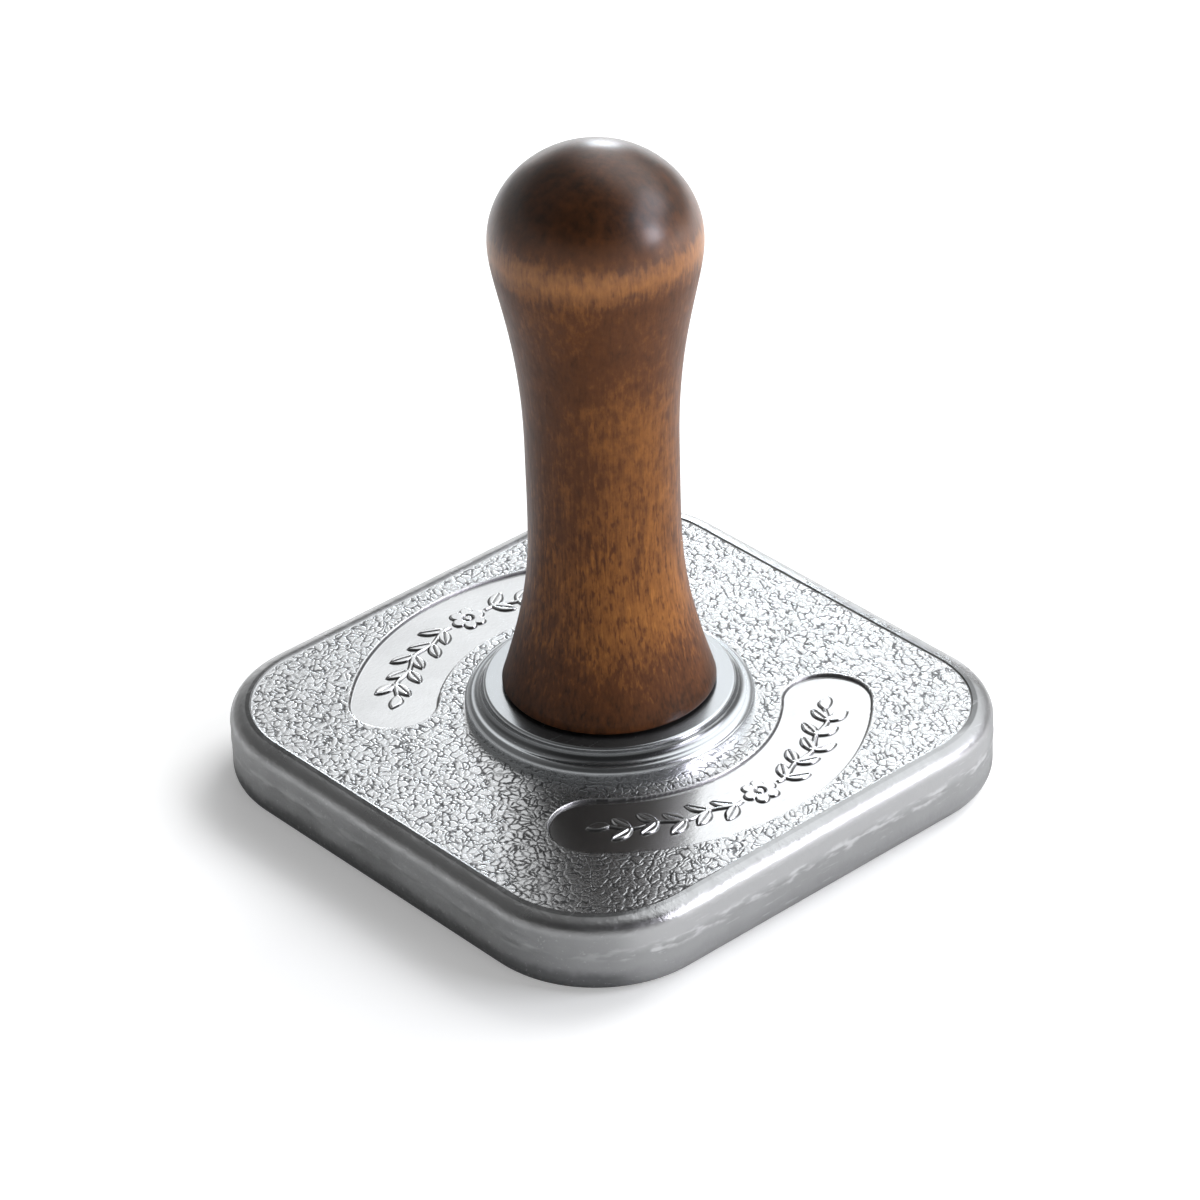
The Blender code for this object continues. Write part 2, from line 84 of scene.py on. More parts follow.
def skinLoops(mesh, loops, slots):
    # faces between rings of points; a ring may be a single point, or a multiple of the next one
    rings = [[mesh.verts.new(point * mm) for point in loop] for loop in loops]
    for slot, first, second in zip(slots, rings, rings[1:]):
        fine, coarse = (first, second) if len(first) > len(second) else (second, first)
        made = []
        if len(coarse) == 1:
            for index in range(len(fine)):
                made.append(mesh.faces.new((fine[index], fine[(index + 1) % len(fine)], coarse[0])))
        else:
            ratio = len(fine) // len(coarse)
            for index in range(len(coarse)):
                side = [fine[(index * ratio + step) % len(fine)] for step in range(ratio + 1)]
                made.append(mesh.faces.new(side + [coarse[(index + 1) % len(coarse)], coarse[index]]))
        for face in made:
            face.material_index = slot
    return rings


def finishPiece(name, mesh, body, materials, sharpAngle=40.0, stands=()):
    # the mesh becomes a piece that rides on its body and stands for its CAD nodes
    bmesh.ops.recalc_face_normals(mesh, faces=mesh.faces)
    data = bpy.data.meshes.new(name)
    mesh.to_mesh(data)
    mesh.free()
    piece = bpy.data.objects.new(name, data)
    bpy.context.scene.collection.objects.link(piece)
    for finish in materials:
        data.materials.append(finish)
    data.shade_smooth()
    data.set_sharp_from_angle(angle=math.radians(sharpAngle))
    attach(piece, body)
    if stands:
        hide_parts(*stands)
    print("made", name, len(data.polygons), "faces")
    return piece


def turnPiece(name, profile, count, body, materials, sharpAngle=40.0, stands=()):
    # a solid of revolution from (radius, height) points; a profile off the axis closes on itself
    mesh = bmesh.new()
    loops = [circleLoop(radius, height, count) if radius else [Vector((0, 0, height))]
             for radius, height in profile]
    rings = skinLoops(mesh, loops, [0] * len(profile))
    if profile[0][0] and profile[-1][0]:
        for index in range(count):
            after = (index + 1) % count
            mesh.faces.new((rings[-1][index], rings[-1][after], rings[0][after], rings[0][index]))
    return finishPiece(name, mesh, body, materials, sharpAngle, stands)


# Small helpers for materials.

def addNode(tree, kind, inputs=None, **settings):
    # one node; an input is a value, or a socket to link from
    made = tree.nodes.new(kind)
    for name, value in settings.items():
        setattr(made, name, value)
    for name, value in (inputs or {}).items():
        if isinstance(value, bpy.types.NodeSocket):
            tree.links.new(value, made.inputs[name])
        else:
            made.inputs[name].default_value = value
    return made


def mathNode(tree, operation, first, second=0.0):
    return addNode(tree, "ShaderNodeMath", {0: first, 1: second}, operation=operation).outputs[0]


def multiply(tree, first, second):
    return mathNode(tree, "MULTIPLY", first, second)


def addUp(tree, total, *others):
    for value in others:
        total = mathNode(tree, "ADD", total, value)
    return total


def mapRange(tree, value, low, high, newLow=0.0, newHigh=1.0, kind="LINEAR"):
    given = {"Value": value, "From Min": low, "From Max": high, "To Min": newLow, "To Max": newHigh}
    return addNode(tree, "ShaderNodeMapRange", given, interpolation_type=kind).outputs[0]


def blend(tree, share, low, high):
    # from one value to another as the share goes from 0 to 1
    return mapRange(tree, share, 0.0, 1.0, low, high)


def smoothRange(tree, value, low, high, newLow=0.0, newHigh=1.0):
    return mapRange(tree, value, low, high, newLow, newHigh, "SMOOTHSTEP")


def band(tree, value, low, lowSoft, highSoft, high):
    # 1 between two values, falling off smoothly on both sides
    return multiply(tree, smoothRange(tree, value, low, lowSoft),
                    smoothRange(tree, value, highSoft, high, 1.0, 0.0))


def mixColour(tree, share, first, second):
    # a colour is a socket, or a tuple without its alpha
    first, second = ((*value, 1.0) if isinstance(value, tuple) else value for value in (first, second))
    return addNode(tree, "ShaderNodeMix", {0: share, 6: first, 7: second}, data_type="RGBA").outputs[2]


def objectPlace(tree):
    return addNode(tree, "ShaderNodeTexCoord").outputs["Object"]


def splitPlace(tree, place):
    return addNode(tree, "ShaderNodeSeparateXYZ", {0: place}).outputs


def mapPlace(tree, place, **values):
    return addNode(tree, "ShaderNodeMapping", {"Vector": place, **values}).outputs[0]


def noiseNode(tree, place, scale, detail=2.0, roughness=0.5):
    given = {"Vector": place, "Scale": scale, "Detail": detail, "Roughness": roughness}
    return addNode(tree, "ShaderNodeTexNoise", given).outputs[0]


def newGroup(name, inputs, outputs):
    # a shader node group with named sockets, all of them numbers
    group = bpy.data.node_groups.new(name, "ShaderNodeTree")
    for title, value in inputs.items():
        socket = group.interface.new_socket(title, in_out="INPUT", socket_type="NodeSocketFloat")
        socket.default_value = value
    for title in outputs:
        group.interface.new_socket(title, in_out="OUTPUT", socket_type="NodeSocketFloat")
    return group, addNode(group, "NodeGroupInput"), addNode(group, "NodeGroupOutput")


def placeGroup(tree, group, **values):
    return addNode(tree, "ShaderNodeGroup", values, node_tree=group).outputs


def newMaterial(name, roughness, metallic=0.0, **sockets):
    # a material whose single numbers stand on the shader's own sockets
    finish = bpy.data.materials.new(name)
    finish.use_nodes = True
    shader = finish.node_tree.nodes["Principled BSDF"]
    sockets.update(Roughness=roughness, Metallic=metallic)
    for title, value in sockets.items():
        shader.inputs[title.replace("_", " ")].default_value = value
    return finish, finish.node_tree, shader


def finishSurface(tree, shader, colour, roughness, height, distance):
    # the height of the bump is in units of the distance, which is in mm
    bump = addNode(tree, "ShaderNodeBump", {"Height": height, "Distance": distance * mm})
    for socket, title in ((colour, "Base Color"), (roughness, "Roughness"), (bump.outputs[0], "Normal")):
        tree.links.new(socket, shader.inputs[title])


# Effects that several materials share.

def makeCastGrain():
    # fine pits and swells of a cast skin
    group, given, put = newGroup("castGrain", {"Size": 0.4, "Swell": 0.5}, ("Height", "Mottle"))
    place = objectPlace(group)
    scale = mathNode(group, "DIVIDE", 1.0 / mm, given.outputs["Size"])
    fine = noiseNode(group, place, scale, 4.0, 0.6)
    wide = noiseNode(group, place, mathNode(group, "DIVIDE", scale, 14.0))
    swell = multiply(group, wide, given.outputs["Swell"])
    group.links.new(addUp(group, fine, swell), put.inputs["Height"])
    group.links.new(smoothRange(group, wide, 0.35, 0.65), put.inputs["Mottle"])
    return group


def makeScuffs():
    # short fine scratches of handling, in two directions
    group, given, put = newGroup("scuffs", {"Density": 0.5}, ("Mask",))
    place = objectPlace(group)
    lines = []
    for turn, stretch in ((0.5, 9.0), (-0.9, 7.0)):
        turned = mapPlace(group, place, Rotation=(0, 0, turn), Scale=(1 / mm, 1 / mm / stretch, 1 / mm))
        lines.append(smoothRange(group, noiseNode(group, turned, 1.6, 3.0, 0.7), 0.62, 0.72))
    mask = multiply(group, mathNode(group, "MAXIMUM", *lines), given.outputs["Density"])
    group.links.new(mask, put.inputs["Mask"])
    return group


def makeLatheRings():
    # fine rings left by a turning tool, round the Z axis
    group, given, put = newGroup("latheRings", {"Pitch": 0.12, "Breaks": 0.5}, ("Height", "Streak"))
    place = objectPlace(group)
    x, y, z = splitPlace(group, place)
    squares = addUp(group, mathNode(group, "POWER", x, 2.0), mathNode(group, "POWER", y, 2.0))
    along = addUp(group, mathNode(group, "POWER", squares, 0.5), multiply(group, z, 0.8))
    scaled = mathNode(group, "DIVIDE", mathNode(group, "DIVIDE", along, mm), given.outputs["Pitch"])
    rings = addNode(group, "ShaderNodeTexNoise", {"W": scaled, "Scale": 1.0, "Detail": 3.0, "Roughness": 0.7},
                    noise_dimensions="1D").outputs[0]
    patches = noiseNode(group, place, 120.0)
    soft = multiply(group, mapRange(group, patches, 0.3, 0.7), given.outputs["Breaks"])
    group.links.new(multiply(group, rings, mathNode(group, "SUBTRACT", 1.0, soft)), put.inputs["Height"])
    group.links.new(mapRange(group, rings, 0.35, 0.65), put.inputs["Streak"])
    return group


castGrain = makeCastGrain()
scuffs = makeScuffs()
latheRings = makeLatheRings()
print("shared effects ready")


# The metal of the head.

aluminium = {
    "bright": (0.88, 0.885, 0.89),
    "turned": (0.69, 0.715, 0.735),
    # the next colour, for the walls, is painted shade: a darker grey than the top of the same casting
    "wall": (0.385, 0.388, 0.39),
    # the next colour is painted shade for low down on the walls
    "lowShade": (0.19, 0.192, 0.195),
    "groove": (0.13, 0.13, 0.132),
}
tumbled = {
    "litSidesFrom": 34.2, "litSidesTo": 37.4,     # mm along X or Y, where the two sides that face the lamps are painted lighter
    # heights in mm between which each thing fades, and the share of a colour beside them
    "lowShadeFull": 2.2, "lowShadeEnd": 3.9, "lowShadeOnLitSides": 0.2,     # painted shade low down, and the share of it that the lamp-facing sides keep
    # the polish heights and tone: painted light, the wall lighter from there up on the two sides that face
    # the lamps
    "polishFrom": 5.2, "polishTo": 6.6, "litWallTone": 0.62,
    "wornFrom": 7.7, "wornTo": 9.6, "wornTone": 0.56,
    # the lip heights, tone and strengths: painted shade along the lip, fainter on the lamp-facing sides
    "lipFrom": 9.768, "lipTo": 9.81, "lipShadeTone": 0.24, "lipShadeStrength": 0.96, "lipShadeOnLitSides": 0.3,
    "lipLitSidesFrom": 34.6, "lipLitSidesTo": 35.4,     # mm along X or Y, where the lip's painted shade gets fainter too
    # the next band and tone: painted highlights streaking along the parting line, in the same tone as the
    # scuffs
    "seamSheenBand": (4.5, 5.3, 5.9, 6.7), "sheenAndScuffTone": 0.9,
    "roughness": (0.46, 0.56), "wornShare": 0.58,     # and the share of it that is left where it is worn
}


def darker(name, share):
    return tuple(share * channel for channel in aluminium[name])


def toneOf(tree, mottle, name, low, high=1.0):
    # between two shares of a colour
    return mixColour(tree, mottle, darker(name, low), darker(name, high))


def crackDirt(tree, tone, full):
    # dirt in the cracks, and at the foot of what is raised
    crack = addNode(tree, "ShaderNodeAttribute", attribute_name="crack").outputs["Fac"]
    return crack, mixColour(tree, smoothRange(tree, crack, 0.1, full, 0.0, 0.95), tone, aluminium["groove"])


def makeFieldMetal():
    # bright flat grains between dark cracks
    finish, tree, shader = newMaterial("crackledAluminium", 0.24, 1.0)
    skin = placeGroup(tree, castGrain, Size=0.35, Swell=0.3)
    crack, tone = crackDirt(tree, toneOf(tree, skin["Mottle"], "bright", 0.88, 0.95), 0.8)
    finishSurface(tree, shader, tone, blend(tree, crack, 0.25, 0.4), skin["Height"], 0.012)
    return finish


def makePanelMetal():
    # smooth, nearly a mirror, with handling marks
    finish, tree, shader = newMaterial("panelAluminium", 0.18, 1.0)
    skin = placeGroup(tree, castGrain, Size=0.4, Swell=0.8)
    marks = placeGroup(tree, scuffs, Density=0.6)["Mask"]
    tone = crackDirt(tree, toneOf(tree, skin["Mottle"], "bright", 0.94), 0.9)[1]
    finishSurface(tree, shader, tone, blend(tree, marks, 0.17, 0.34), skin["Height"], 0.009)
    return finish


def makeEdgeMetal():
    # tumbled: brighter where it rounds over to the top, with scuffs; painted shade along the lip and low
    # down, painted highlights streaking along its middle, and painted light on the two sides that face the
    # lamps
    finish, tree, shader = newMaterial("tumbledAluminium", 0.4, 1.0)
    skin = placeGroup(tree, castGrain, Size=0.5, Swell=0.6)
    slow = placeGroup(tree, castGrain, Size=2.6, Swell=0.0)["Height"]
    marks = placeGroup(tree, scuffs, Density=0.25)["Mask"]
    place = objectPlace(tree)
    x, y, z = splitPlace(tree, place)
    height = mathNode(tree, "DIVIDE", z, mm)
    uneven = addUp(tree, height, mapRange(tree, slow, 0.3, 0.7, -0.35, 0.35))
    side = mathNode(tree, "DIVIDE", mathNode(tree, "MAXIMUM", x, y), mm)
    # painted light: a mask of the two sides that face the lamps
    litSides = smoothRange(tree, side, tumbled["litSidesFrom"], tumbled["litSidesTo"])
    # painted shade, darker towards the bottom and fainter on the lamp-facing sides
    lowShade = multiply(tree, blend(tree, litSides, 1.0, tumbled["lowShadeOnLitSides"]),
                       smoothRange(tree, uneven, tumbled["lowShadeFull"], tumbled["lowShadeEnd"], 1.0, 0.0))
    # painted light, lighter up the wall on the lamp-facing sides
    litWall = multiply(tree, litSides, smoothRange(tree, uneven, tumbled["polishFrom"], tumbled["polishTo"],
                                                0.25, 0.8))
    worn = smoothRange(tree, uneven, tumbled["wornFrom"], tumbled["wornTo"])
    # painted shade along the lip, fainter on the lamp-facing sides
    lip = multiply(tree, mapRange(tree, side, tumbled["lipLitSidesFrom"], tumbled["lipLitSidesTo"],
                                  tumbled["lipShadeStrength"], tumbled["lipShadeOnLitSides"]),
                   smoothRange(tree, height, tumbled["lipFrom"], tumbled["lipTo"]))
    # the walls' darker grey is painted shade
    tone = toneOf(tree, skin["Mottle"], "wall", 0.84)
    for mask, share in ((litWall, "litWallTone"), (worn, "wornTone"), (lip, "lipShadeTone")):
        tone = mixColour(tree, mask, tone, darker("bright", tumbled[share]))
    tone = mixColour(tree, lowShade, tone, aluminium["lowShade"])
    # painted highlights in streaks along the parting line, stronger on the lamp-facing sides, then the scuffs
    level = mapPlace(tree, place, Scale=(0.32 / mm, 0.32 / mm, 1.1 / mm))
    sheenStreaks = smoothRange(tree, noiseNode(tree, level, 1.0), 0.46, 0.64, 0.0, 0.6)
    sheenAndScuffs = multiply(tree, sheenStreaks, band(tree, uneven, *tumbled["seamSheenBand"]))
    sheenAndScuffs = multiply(tree, sheenAndScuffs, blend(tree, litSides, 0.3, 1.0))
    sheenAndScuffs = mathNode(tree, "MAXIMUM", sheenAndScuffs, marks)
    tone = mixColour(tree, sheenAndScuffs, tone, darker("bright", tumbled["sheenAndScuffTone"]))
    rough = multiply(tree, blend(tree, skin["Mottle"], *tumbled["roughness"]),
                     blend(tree, worn, 1.0, tumbled["wornShare"]))
    finishSurface(tree, shader, tone, rough, addUp(tree, skin["Height"], multiply(tree, slow, 8.0)), 0.016)
    return finish


def makeBossMetal():
    # turned bright, with fine rings, and painted shade in the cove between the seat and the shoulder
    finish, tree, shader = newMaterial("turnedAluminium", 0.12, 1.0)
    rings = placeGroup(tree, latheRings, Pitch=0.09, Breaks=0.4)
    marks = placeGroup(tree, scuffs, Density=0.5)["Mask"]
    height = mathNode(tree, "DIVIDE", splitPlace(tree, objectPlace(tree))[2], mm)
    # painted shade in the cove
    cove = band(tree, height, 11.62, 11.9, 12.85, 13.12)
    tone = toneOf(tree, rings["Streak"], "turned", 0.92)
    tone = mixColour(tree, cove, tone, darker("turned", 0.38))
    rough = addUp(tree, blend(tree, rings["Streak"], 0.17, 0.24), multiply(tree, marks, 0.1))
    finishSurface(tree, shader, tone, rough, rings["Height"], 0.0018)
    return finish


def makeFaceMetal():
    # the stamping face keeps its cast skin
    finish, tree, shader = newMaterial("castFaceAluminium", 0.36, 1.0)
    skin = placeGroup(tree, castGrain, Size=0.3, Swell=0.8)
    marks = placeGroup(tree, scuffs, Density=0.5)["Mask"]
    finishSurface(tree, shader, toneOf(tree, skin["Mottle"], "bright", 0.68, 0.82),
                  blend(tree, marks, 0.34, 0.5), skin["Height"], 0.03)
    return finish


def makeThreadMetal(name, colour, dull, roughness):
    # cut or rolled threads: a duller tone in the mottled places
    finish, tree, shader = newMaterial(name, roughness, 1.0)
    skin = placeGroup(tree, castGrain, Size=0.25, Swell=0.6)
    finishSurface(tree, shader, mixColour(tree, skin["Mottle"], dull, colour),
                  blend(tree, skin["Mottle"], roughness + 0.12, roughness), skin["Height"], 0.008)
    return finish


# The head's shape.

head = {
    "side": 76.2, "thickness": 9.9, "cornerRadius": 16.2,
    "topRound": 2.3, "bottomRound": 2.1,
    "lipWidth": 0.3, "fieldSink": 0.14, "edgePulls": (1.3, 0.22, 0.42),     # of the curve over the top edge
    "draft": 10.0,     # degrees
    "rimWidth": 3.0, "faceDepth": 3.0,
    "fieldSpokes": 2160, "fieldLoops": 230, "edgeSpokes": 360, "boreSpokes": 60,
}
seam = {
    "levels": (6.9, 6.4, 6.1, 5.8, 5.5, 5.2, 4.9, 4.4),     # of the loops that carry the parting line
    "height": 0.09, "width": 0.45, "middle": 5.6, "inset": 0.03,
    "wander": 0.5, "waves": 5.0, "patches": 9.0,     # how far and how often it shifts, and how often it fades
}
boss = {
    "seatRadius": 15.6, "seatHeight": 3.3, "shoulderRadius": 17.9, "shoulderHeight": 1.7,
    "shoulderRound": 0.95, "cove": 1.25, "edge": 0.35,
}
panel = {
    "radius": 26.75, "width": 11.3,
    "sweep": 92.6,     # degrees between the middles of the round ends
    "sink": 0.4, "slope": 0.24,
    "snap": 0.07,     # points that lie so near an edge of the slope move onto it
}
crackle = {
    "grain": 0.95,     # from grain to grain
    "crackWidth": 0.16,     # of half the open crack
    "crackDepth": 0.045, "tilt": 0.012, "wander": 0.65, "ripple": 0.22,
    "shut": 0.5,     # how open the closest cracks still are
    "seed": 4,     # each number gives its own pattern
}
garland = {
    "height": 0.26, "soft": 0.2,     # of everything raised in the panels, and the width of its slopes
    "stem": 0.2, "wave": 0.35, "halfLength": 17.6,
    "leafEvery": 3.3, "leafLength": 3.3, "leafWidth": 1.5, "leafAngle": 42.0, "midrib": 0.05,
    "endLeaf": 3.0,
    "flowerRadius": 2.3, "flowerPetals": 6, "petalRoot": 0.62,
    "heart": 0.62, "heartGroove": 0.12,     # radius of the groove round the heart, and half its width
}
relief = {
    "crest": 0.4, "round": 0.3,     # level of the crests above the rim's plane, and their edges
    "button": 4.6, "buttonDome": 0.9, "bead": 1.4, "beadDome": 0.56, "beadSpokes": 28,
    "petals": 8, "rib": 1.1, "gap": 1.6, "petalFullness": 0.57,
    "veinStart": 0.36, "veinShare": 0.34, "veinFullness": 0.26,     # shares of the leaf
    "ringRadius": 24.0, "ringWidth": 1.5,
    "sprayGap": 1.8, "sprayFullness": 0.46, "faceHalf": 33.0, "faceCorner": 11.1,
    "wingLength": 8.8, "wingFullness": 0.34, "wingSplay": 8.0, "wingTurn": 98.0,
    "sideLeaf": 5.2, "sideFullness": 0.34, "sideGap": 1.2,
}
thread = {
    "pitch": 1.27, "radius": 3.175, "depth": 0.55, "clearance": 0.3, "steps": 10,
    "seatLevel": 13.2, "turns": 6,
    "below": 0.8, "drillAngle": 59.0,     # depth of the hole under the last turn, and its point
    "countersink": 0.7,
}


def squareReach(angle, inset):
    # from the axis to the rounded square's outline, drawn in by an inset
    half = head["side"] / 2 - inset
    centre = head["side"] / 2 - head["cornerRadius"]
    wide, narrow = sorted((abs(math.cos(angle)), abs(math.sin(angle))), reverse=True)
    if half * narrow / wide <= centre:
        return half / wide
    along = centre * (wide + narrow)
    return along + math.sqrt(along ** 2 - 2 * centre ** 2 + (half - centre) ** 2)


def squareLoop(inset, height, count):
    return circleLoop(lambda angle: squareReach(angle, inset), height, count)


def seamLoop(height, count):
    # the wall where the rubbed-down parting line runs round it, higher in some places than in others
    def reach(angle):
        place = Vector((math.cos(angle), math.sin(angle), 0))
        middle = seam["middle"] + seam["wander"] * noise.noise(place * seam["waves"])
        strength = ease(0.5 + noise.noise(place * seam["patches"] + Vector((0, 0, 4))), 0.25, 0.75)
        rise = math.exp(-((height - middle) / seam["width"]) ** 2)
        return squareReach(angle, seam["inset"]) + seam["height"] * strength * rise
    return circleLoop(reach, height, count)


def panelDistance(x, y):
    # how far a point lies outside the nearer panel's edge, and the way straight out of it
    side = 1.0 if x >= 0 else -1.0
    spot = Vector((abs(x), y))
    halfSweep = math.radians(panel["sweep"] / 2)
    bearing = math.atan2(spot.y, spot.x)
    if abs(bearing) <= halfSweep:
        offset = spot.length - panel["radius"]
        out = spot.normalized() * (1 if offset >= 0 else -1)
        distance = abs(offset) - panel["width"] / 2
    else:
        end = math.copysign(halfSweep, bearing)
        away = spot - Vector((math.cos(end), math.sin(end))) * panel["radius"]
        out = away.normalized()
        distance = away.length - panel["width"] / 2
    return distance, Vector((out.x * side, out.y))


def leafDepth(along, across, length, width):
    # how far a point lies inside a pointed leaf that starts at the origin and runs along the first axis
    if not 0 < along < length:
        return -1.0
    return width / 2 * (1 - (2 * along / length - 1) ** 2) - abs(across)


def stemAt(outward):
    # the stem waves to and fro between its leaves
    return garland["wave"] * math.sin(math.pi * outward / garland["leafEvery"])


def garlandDepth(x, y):
    # how far a point lies inside the garland of a panel: a stem with leaves on both sides of a flower
    side = 1.0 if x >= 0 else -1.0
    along = panel["radius"] * math.atan2(y * side, x * side)
    across = math.hypot(x, y) - panel["radius"]
    reach = math.hypot(along, across)
    if reach < garland["flowerRadius"] + 0.6:
        petal = abs(math.cos(garland["flowerPetals"] / 2 * math.atan2(across, along)))
        edge = garland["petalRoot"] + (1 - garland["petalRoot"]) * petal ** 0.6
        return min(garland["flowerRadius"] * edge - reach,
                   abs(reach - garland["heart"]) - garland["heartGroove"])
    outward = abs(along) - garland["flowerRadius"]
    best = -1.0
    if 0.3 < outward < garland["halfLength"]:
        best = garland["stem"] - abs(across - stemAt(outward))
    lean = math.radians(garland["leafAngle"])
    first = int(outward // garland["leafEvery"])
    for index in range(first - 1, first + 2):
        root = (index + 0.5) * garland["leafEvery"]
        if not 0 < root < garland["halfLength"] + 0.5:
            continue
        for hand in (1, -1):
            u, v = outward - root, (across - stemAt(root)) * hand
            run = u * math.cos(lean) + v * math.sin(lean)
            off = v * math.cos(lean) - u * math.sin(lean)
            inside = leafDepth(run, off, garland["leafLength"], garland["leafWidth"])
            if run > 0.5:
                inside = min(inside, abs(off) - garland["midrib"])
            best = max(best, inside)
    run = outward - garland["halfLength"] + 0.3
    return max(best, leafDepth(run, across - stemAt(outward), garland["endLeaf"], garland["leafWidth"]))


def crackAt(x, y):
    # how far the nearest crack between two grains is, the way to it, and how the grain lies there
    spot = Vector((x, y, 0.0)) / crackle["grain"]
    spot += (noise.noise_vector(spot * 0.55) * crackle["wander"]
             + noise.noise_vector(spot * 1.7) * crackle["ripple"])
    distances, centres = noise.voronoi(spot)
    between = centres[1] - centres[0]
    across = (distances[1] ** 2 - distances[0] ** 2) / (2 * between.length)
    level = max(between.xy.length / between.length, 0.5)
    here = 0.5 + noise.noise(spot * 0.8 + Vector((7.1, 3.3, 0)))     # cracks open and close
    openness = crackle["shut"] + (1 - crackle["shut"]) * ease(here, 0.25, 0.6)
    tilt = (spot - centres[0]).dot(noise.noise_vector(centres[0] * 3.7))
    return across * crackle["grain"] / level, between.xy.normalized(), openness, tilt


def fieldPoint(angle, share, inner, outer):
    # a point of the crackled field, which also carries the two sunk panels, and how dirty it is there
    reach = inner + (outer - inner) * share
    x, y = reach * math.cos(angle), reach * math.sin(angle)
    distance, out = panelDistance(x, y)
    inField = 0.01 < share < 0.985
    for edge in (0.0, -panel["slope"]):
        if abs(distance - edge) < panel["snap"] and inField:
            x, y = x - out.x * (distance - edge), y - out.y * (distance - edge)
            distance = edge
    height = head["thickness"] - head["fieldSink"]
    height -= panel["sink"] * (1 - ease(distance, -panel["slope"], 0.0))
    if distance < -panel["slope"] - 0.5:
        depth, half = garlandDepth(x, y), garland["soft"] / 2
        height += garland["height"] * ease(depth, -half, half)
        return Vector((x, y, height)), 1 - ease(abs(depth + half), 0.0, 0.2)
    toCrack, way, openness, tilt = crackAt(x, y)
    step = max(math.tau * reach / head["fieldSpokes"], (outer - inner) / head["fieldLoops"])
    if toCrack < step / 2 and distance > 0.1 and inField:     # points near a crack move onto it
        x, y = x + way.x * toCrack, y + way.y * toCrack
        toCrack = 0.0
    depth = openness * (1 - ease(toCrack, 0.0, crackle["crackWidth"]))
    shown = ease(distance, 0.0, 0.3) * ease(reach - inner, 0.05, 0.35) * ease(outer - reach, 0.0, 0.25)
    height -= (crackle["crackDepth"] * depth - crackle["tilt"] * tilt) * shown
    dirt = 0.8 * (1 - ease(abs(distance + panel["slope"] * 0.7), 0.06, 0.2))
    if share > 0.999:     # a fine uneven dark line along the lip
        dirt = 0.5 + 0.6 * noise.noise(Vector((x, y, 0)) * 0.9)
    return Vector((x, y, height)), max(depth * shown, dirt)


def threadRadius(angle, height, base):
    # a right-hand helical thread: the crest climbs one pitch for each turn
    phase = ((height - thread["seatLevel"]) / thread["pitch"] - angle / math.tau) % 1.0
    return base - thread["depth"] * ease(abs(phase - 0.5) * 2, 0.12, 0.88)


def boreLoops():
    # the tapped blind hole, from the drill point up to its mouth
    wall, count = thread["radius"] + thread["clearance"], head["boreSpokes"]
    bottom = thread["seatLevel"] - thread["pitch"] * thread["turns"] - thread["below"]
    mouth = thread["seatLevel"] - thread["countersink"]
    point = bottom - wall / math.tan(math.radians(thread["drillAngle"]))
    loops = [[Vector((0, 0, point))], circleLoop(wall, bottom, count)]
    steps = round((mouth - bottom) / thread["pitch"] * thread["steps"])
    for step in range(1, steps + 1):
        level = bottom + (mouth - bottom) * step / steps
        loops.append(circleLoop(lambda angle: threadRadius(angle, level, wall), level, count))
    loops.append(circleLoop(wall, mouth + 0.01, count))
    loops.append(circleLoop(wall + thread["countersink"], thread["seatLevel"], count))
    return loops


def bossProfile():
    # (radius, height) from the seat down to the field
    seat, edge = head["thickness"] + boss["seatHeight"], boss["edge"]
    shoulder, cove, soft = head["thickness"] + boss["shoulderHeight"], boss["cove"], boss["shoulderRound"]
    points = [(8.0, seat), (12.0, seat), (boss["seatRadius"] - edge - 0.06, seat)]
    points += arcPoints((boss["seatRadius"] - edge, seat - edge), edge, 90, 0, 4)
    points += arcPoints((boss["seatRadius"] + cove, shoulder + cove), cove, 180, 270, 12)
    points += arcPoints((boss["shoulderRadius"] - soft, shoulder - soft), soft, 90, 0, 9)
    return points + [(boss["shoulderRadius"], head["thickness"] - head["fieldSink"])]


def edgeProfile():
    # (inset, height) from the foot of the lip round the edge and under to the face's floor
    thickness, top, bottom = head["thickness"], head["topRound"], head["bottomRound"]
    lip = top + head["lipWidth"]
    points = [(lip + 0.1, thickness - head["fieldSink"]), (lip, thickness - 0.03), (lip - 0.06, thickness)]
    flat, drop, corner = head["edgePulls"]
    points += bendPoints((lip - 0.1, thickness - 0.007), (flat, thickness - drop),
                         (0.0, thickness - corner), (0.0, thickness - top + 0.2), 16)
    points += [(0.0, level) for level in seam["levels"]]
    points += [(bottom - bottom * math.cos(math.radians(a)), bottom - bottom * math.sin(math.radians(a)))
               for a in range(0, 91, 10)]
    rim = bottom + head["rimWidth"]
    slope = head["faceDepth"] * math.tan(math.radians(head["draft"]))
    return points + [(rim - 0.12, 0.0), (rim, 0.1), (rim + slope, head["faceDepth"])]


def wallLevels():
    # (inset, level) up a drafted wall of the relief, from the floor round the edge of its crest
    soft, level = relief["round"], relief["crest"] + relief["round"]
    lean = (head["faceDepth"] - level) * math.tan(math.radians(head["draft"]))
    levels = [(-lean, head["faceDepth"])]
    for angle in (0, 30, 60, 90):
        turn = math.radians(angle)
        levels.append((soft * (1 - math.cos(turn)), level - soft * math.sin(turn)))
    return levels


def pocketLevels():
    # down again on the inner side of an outline rib
    return [(relief["rib"] - inset, level) for inset, level in reversed(wallLevels())]


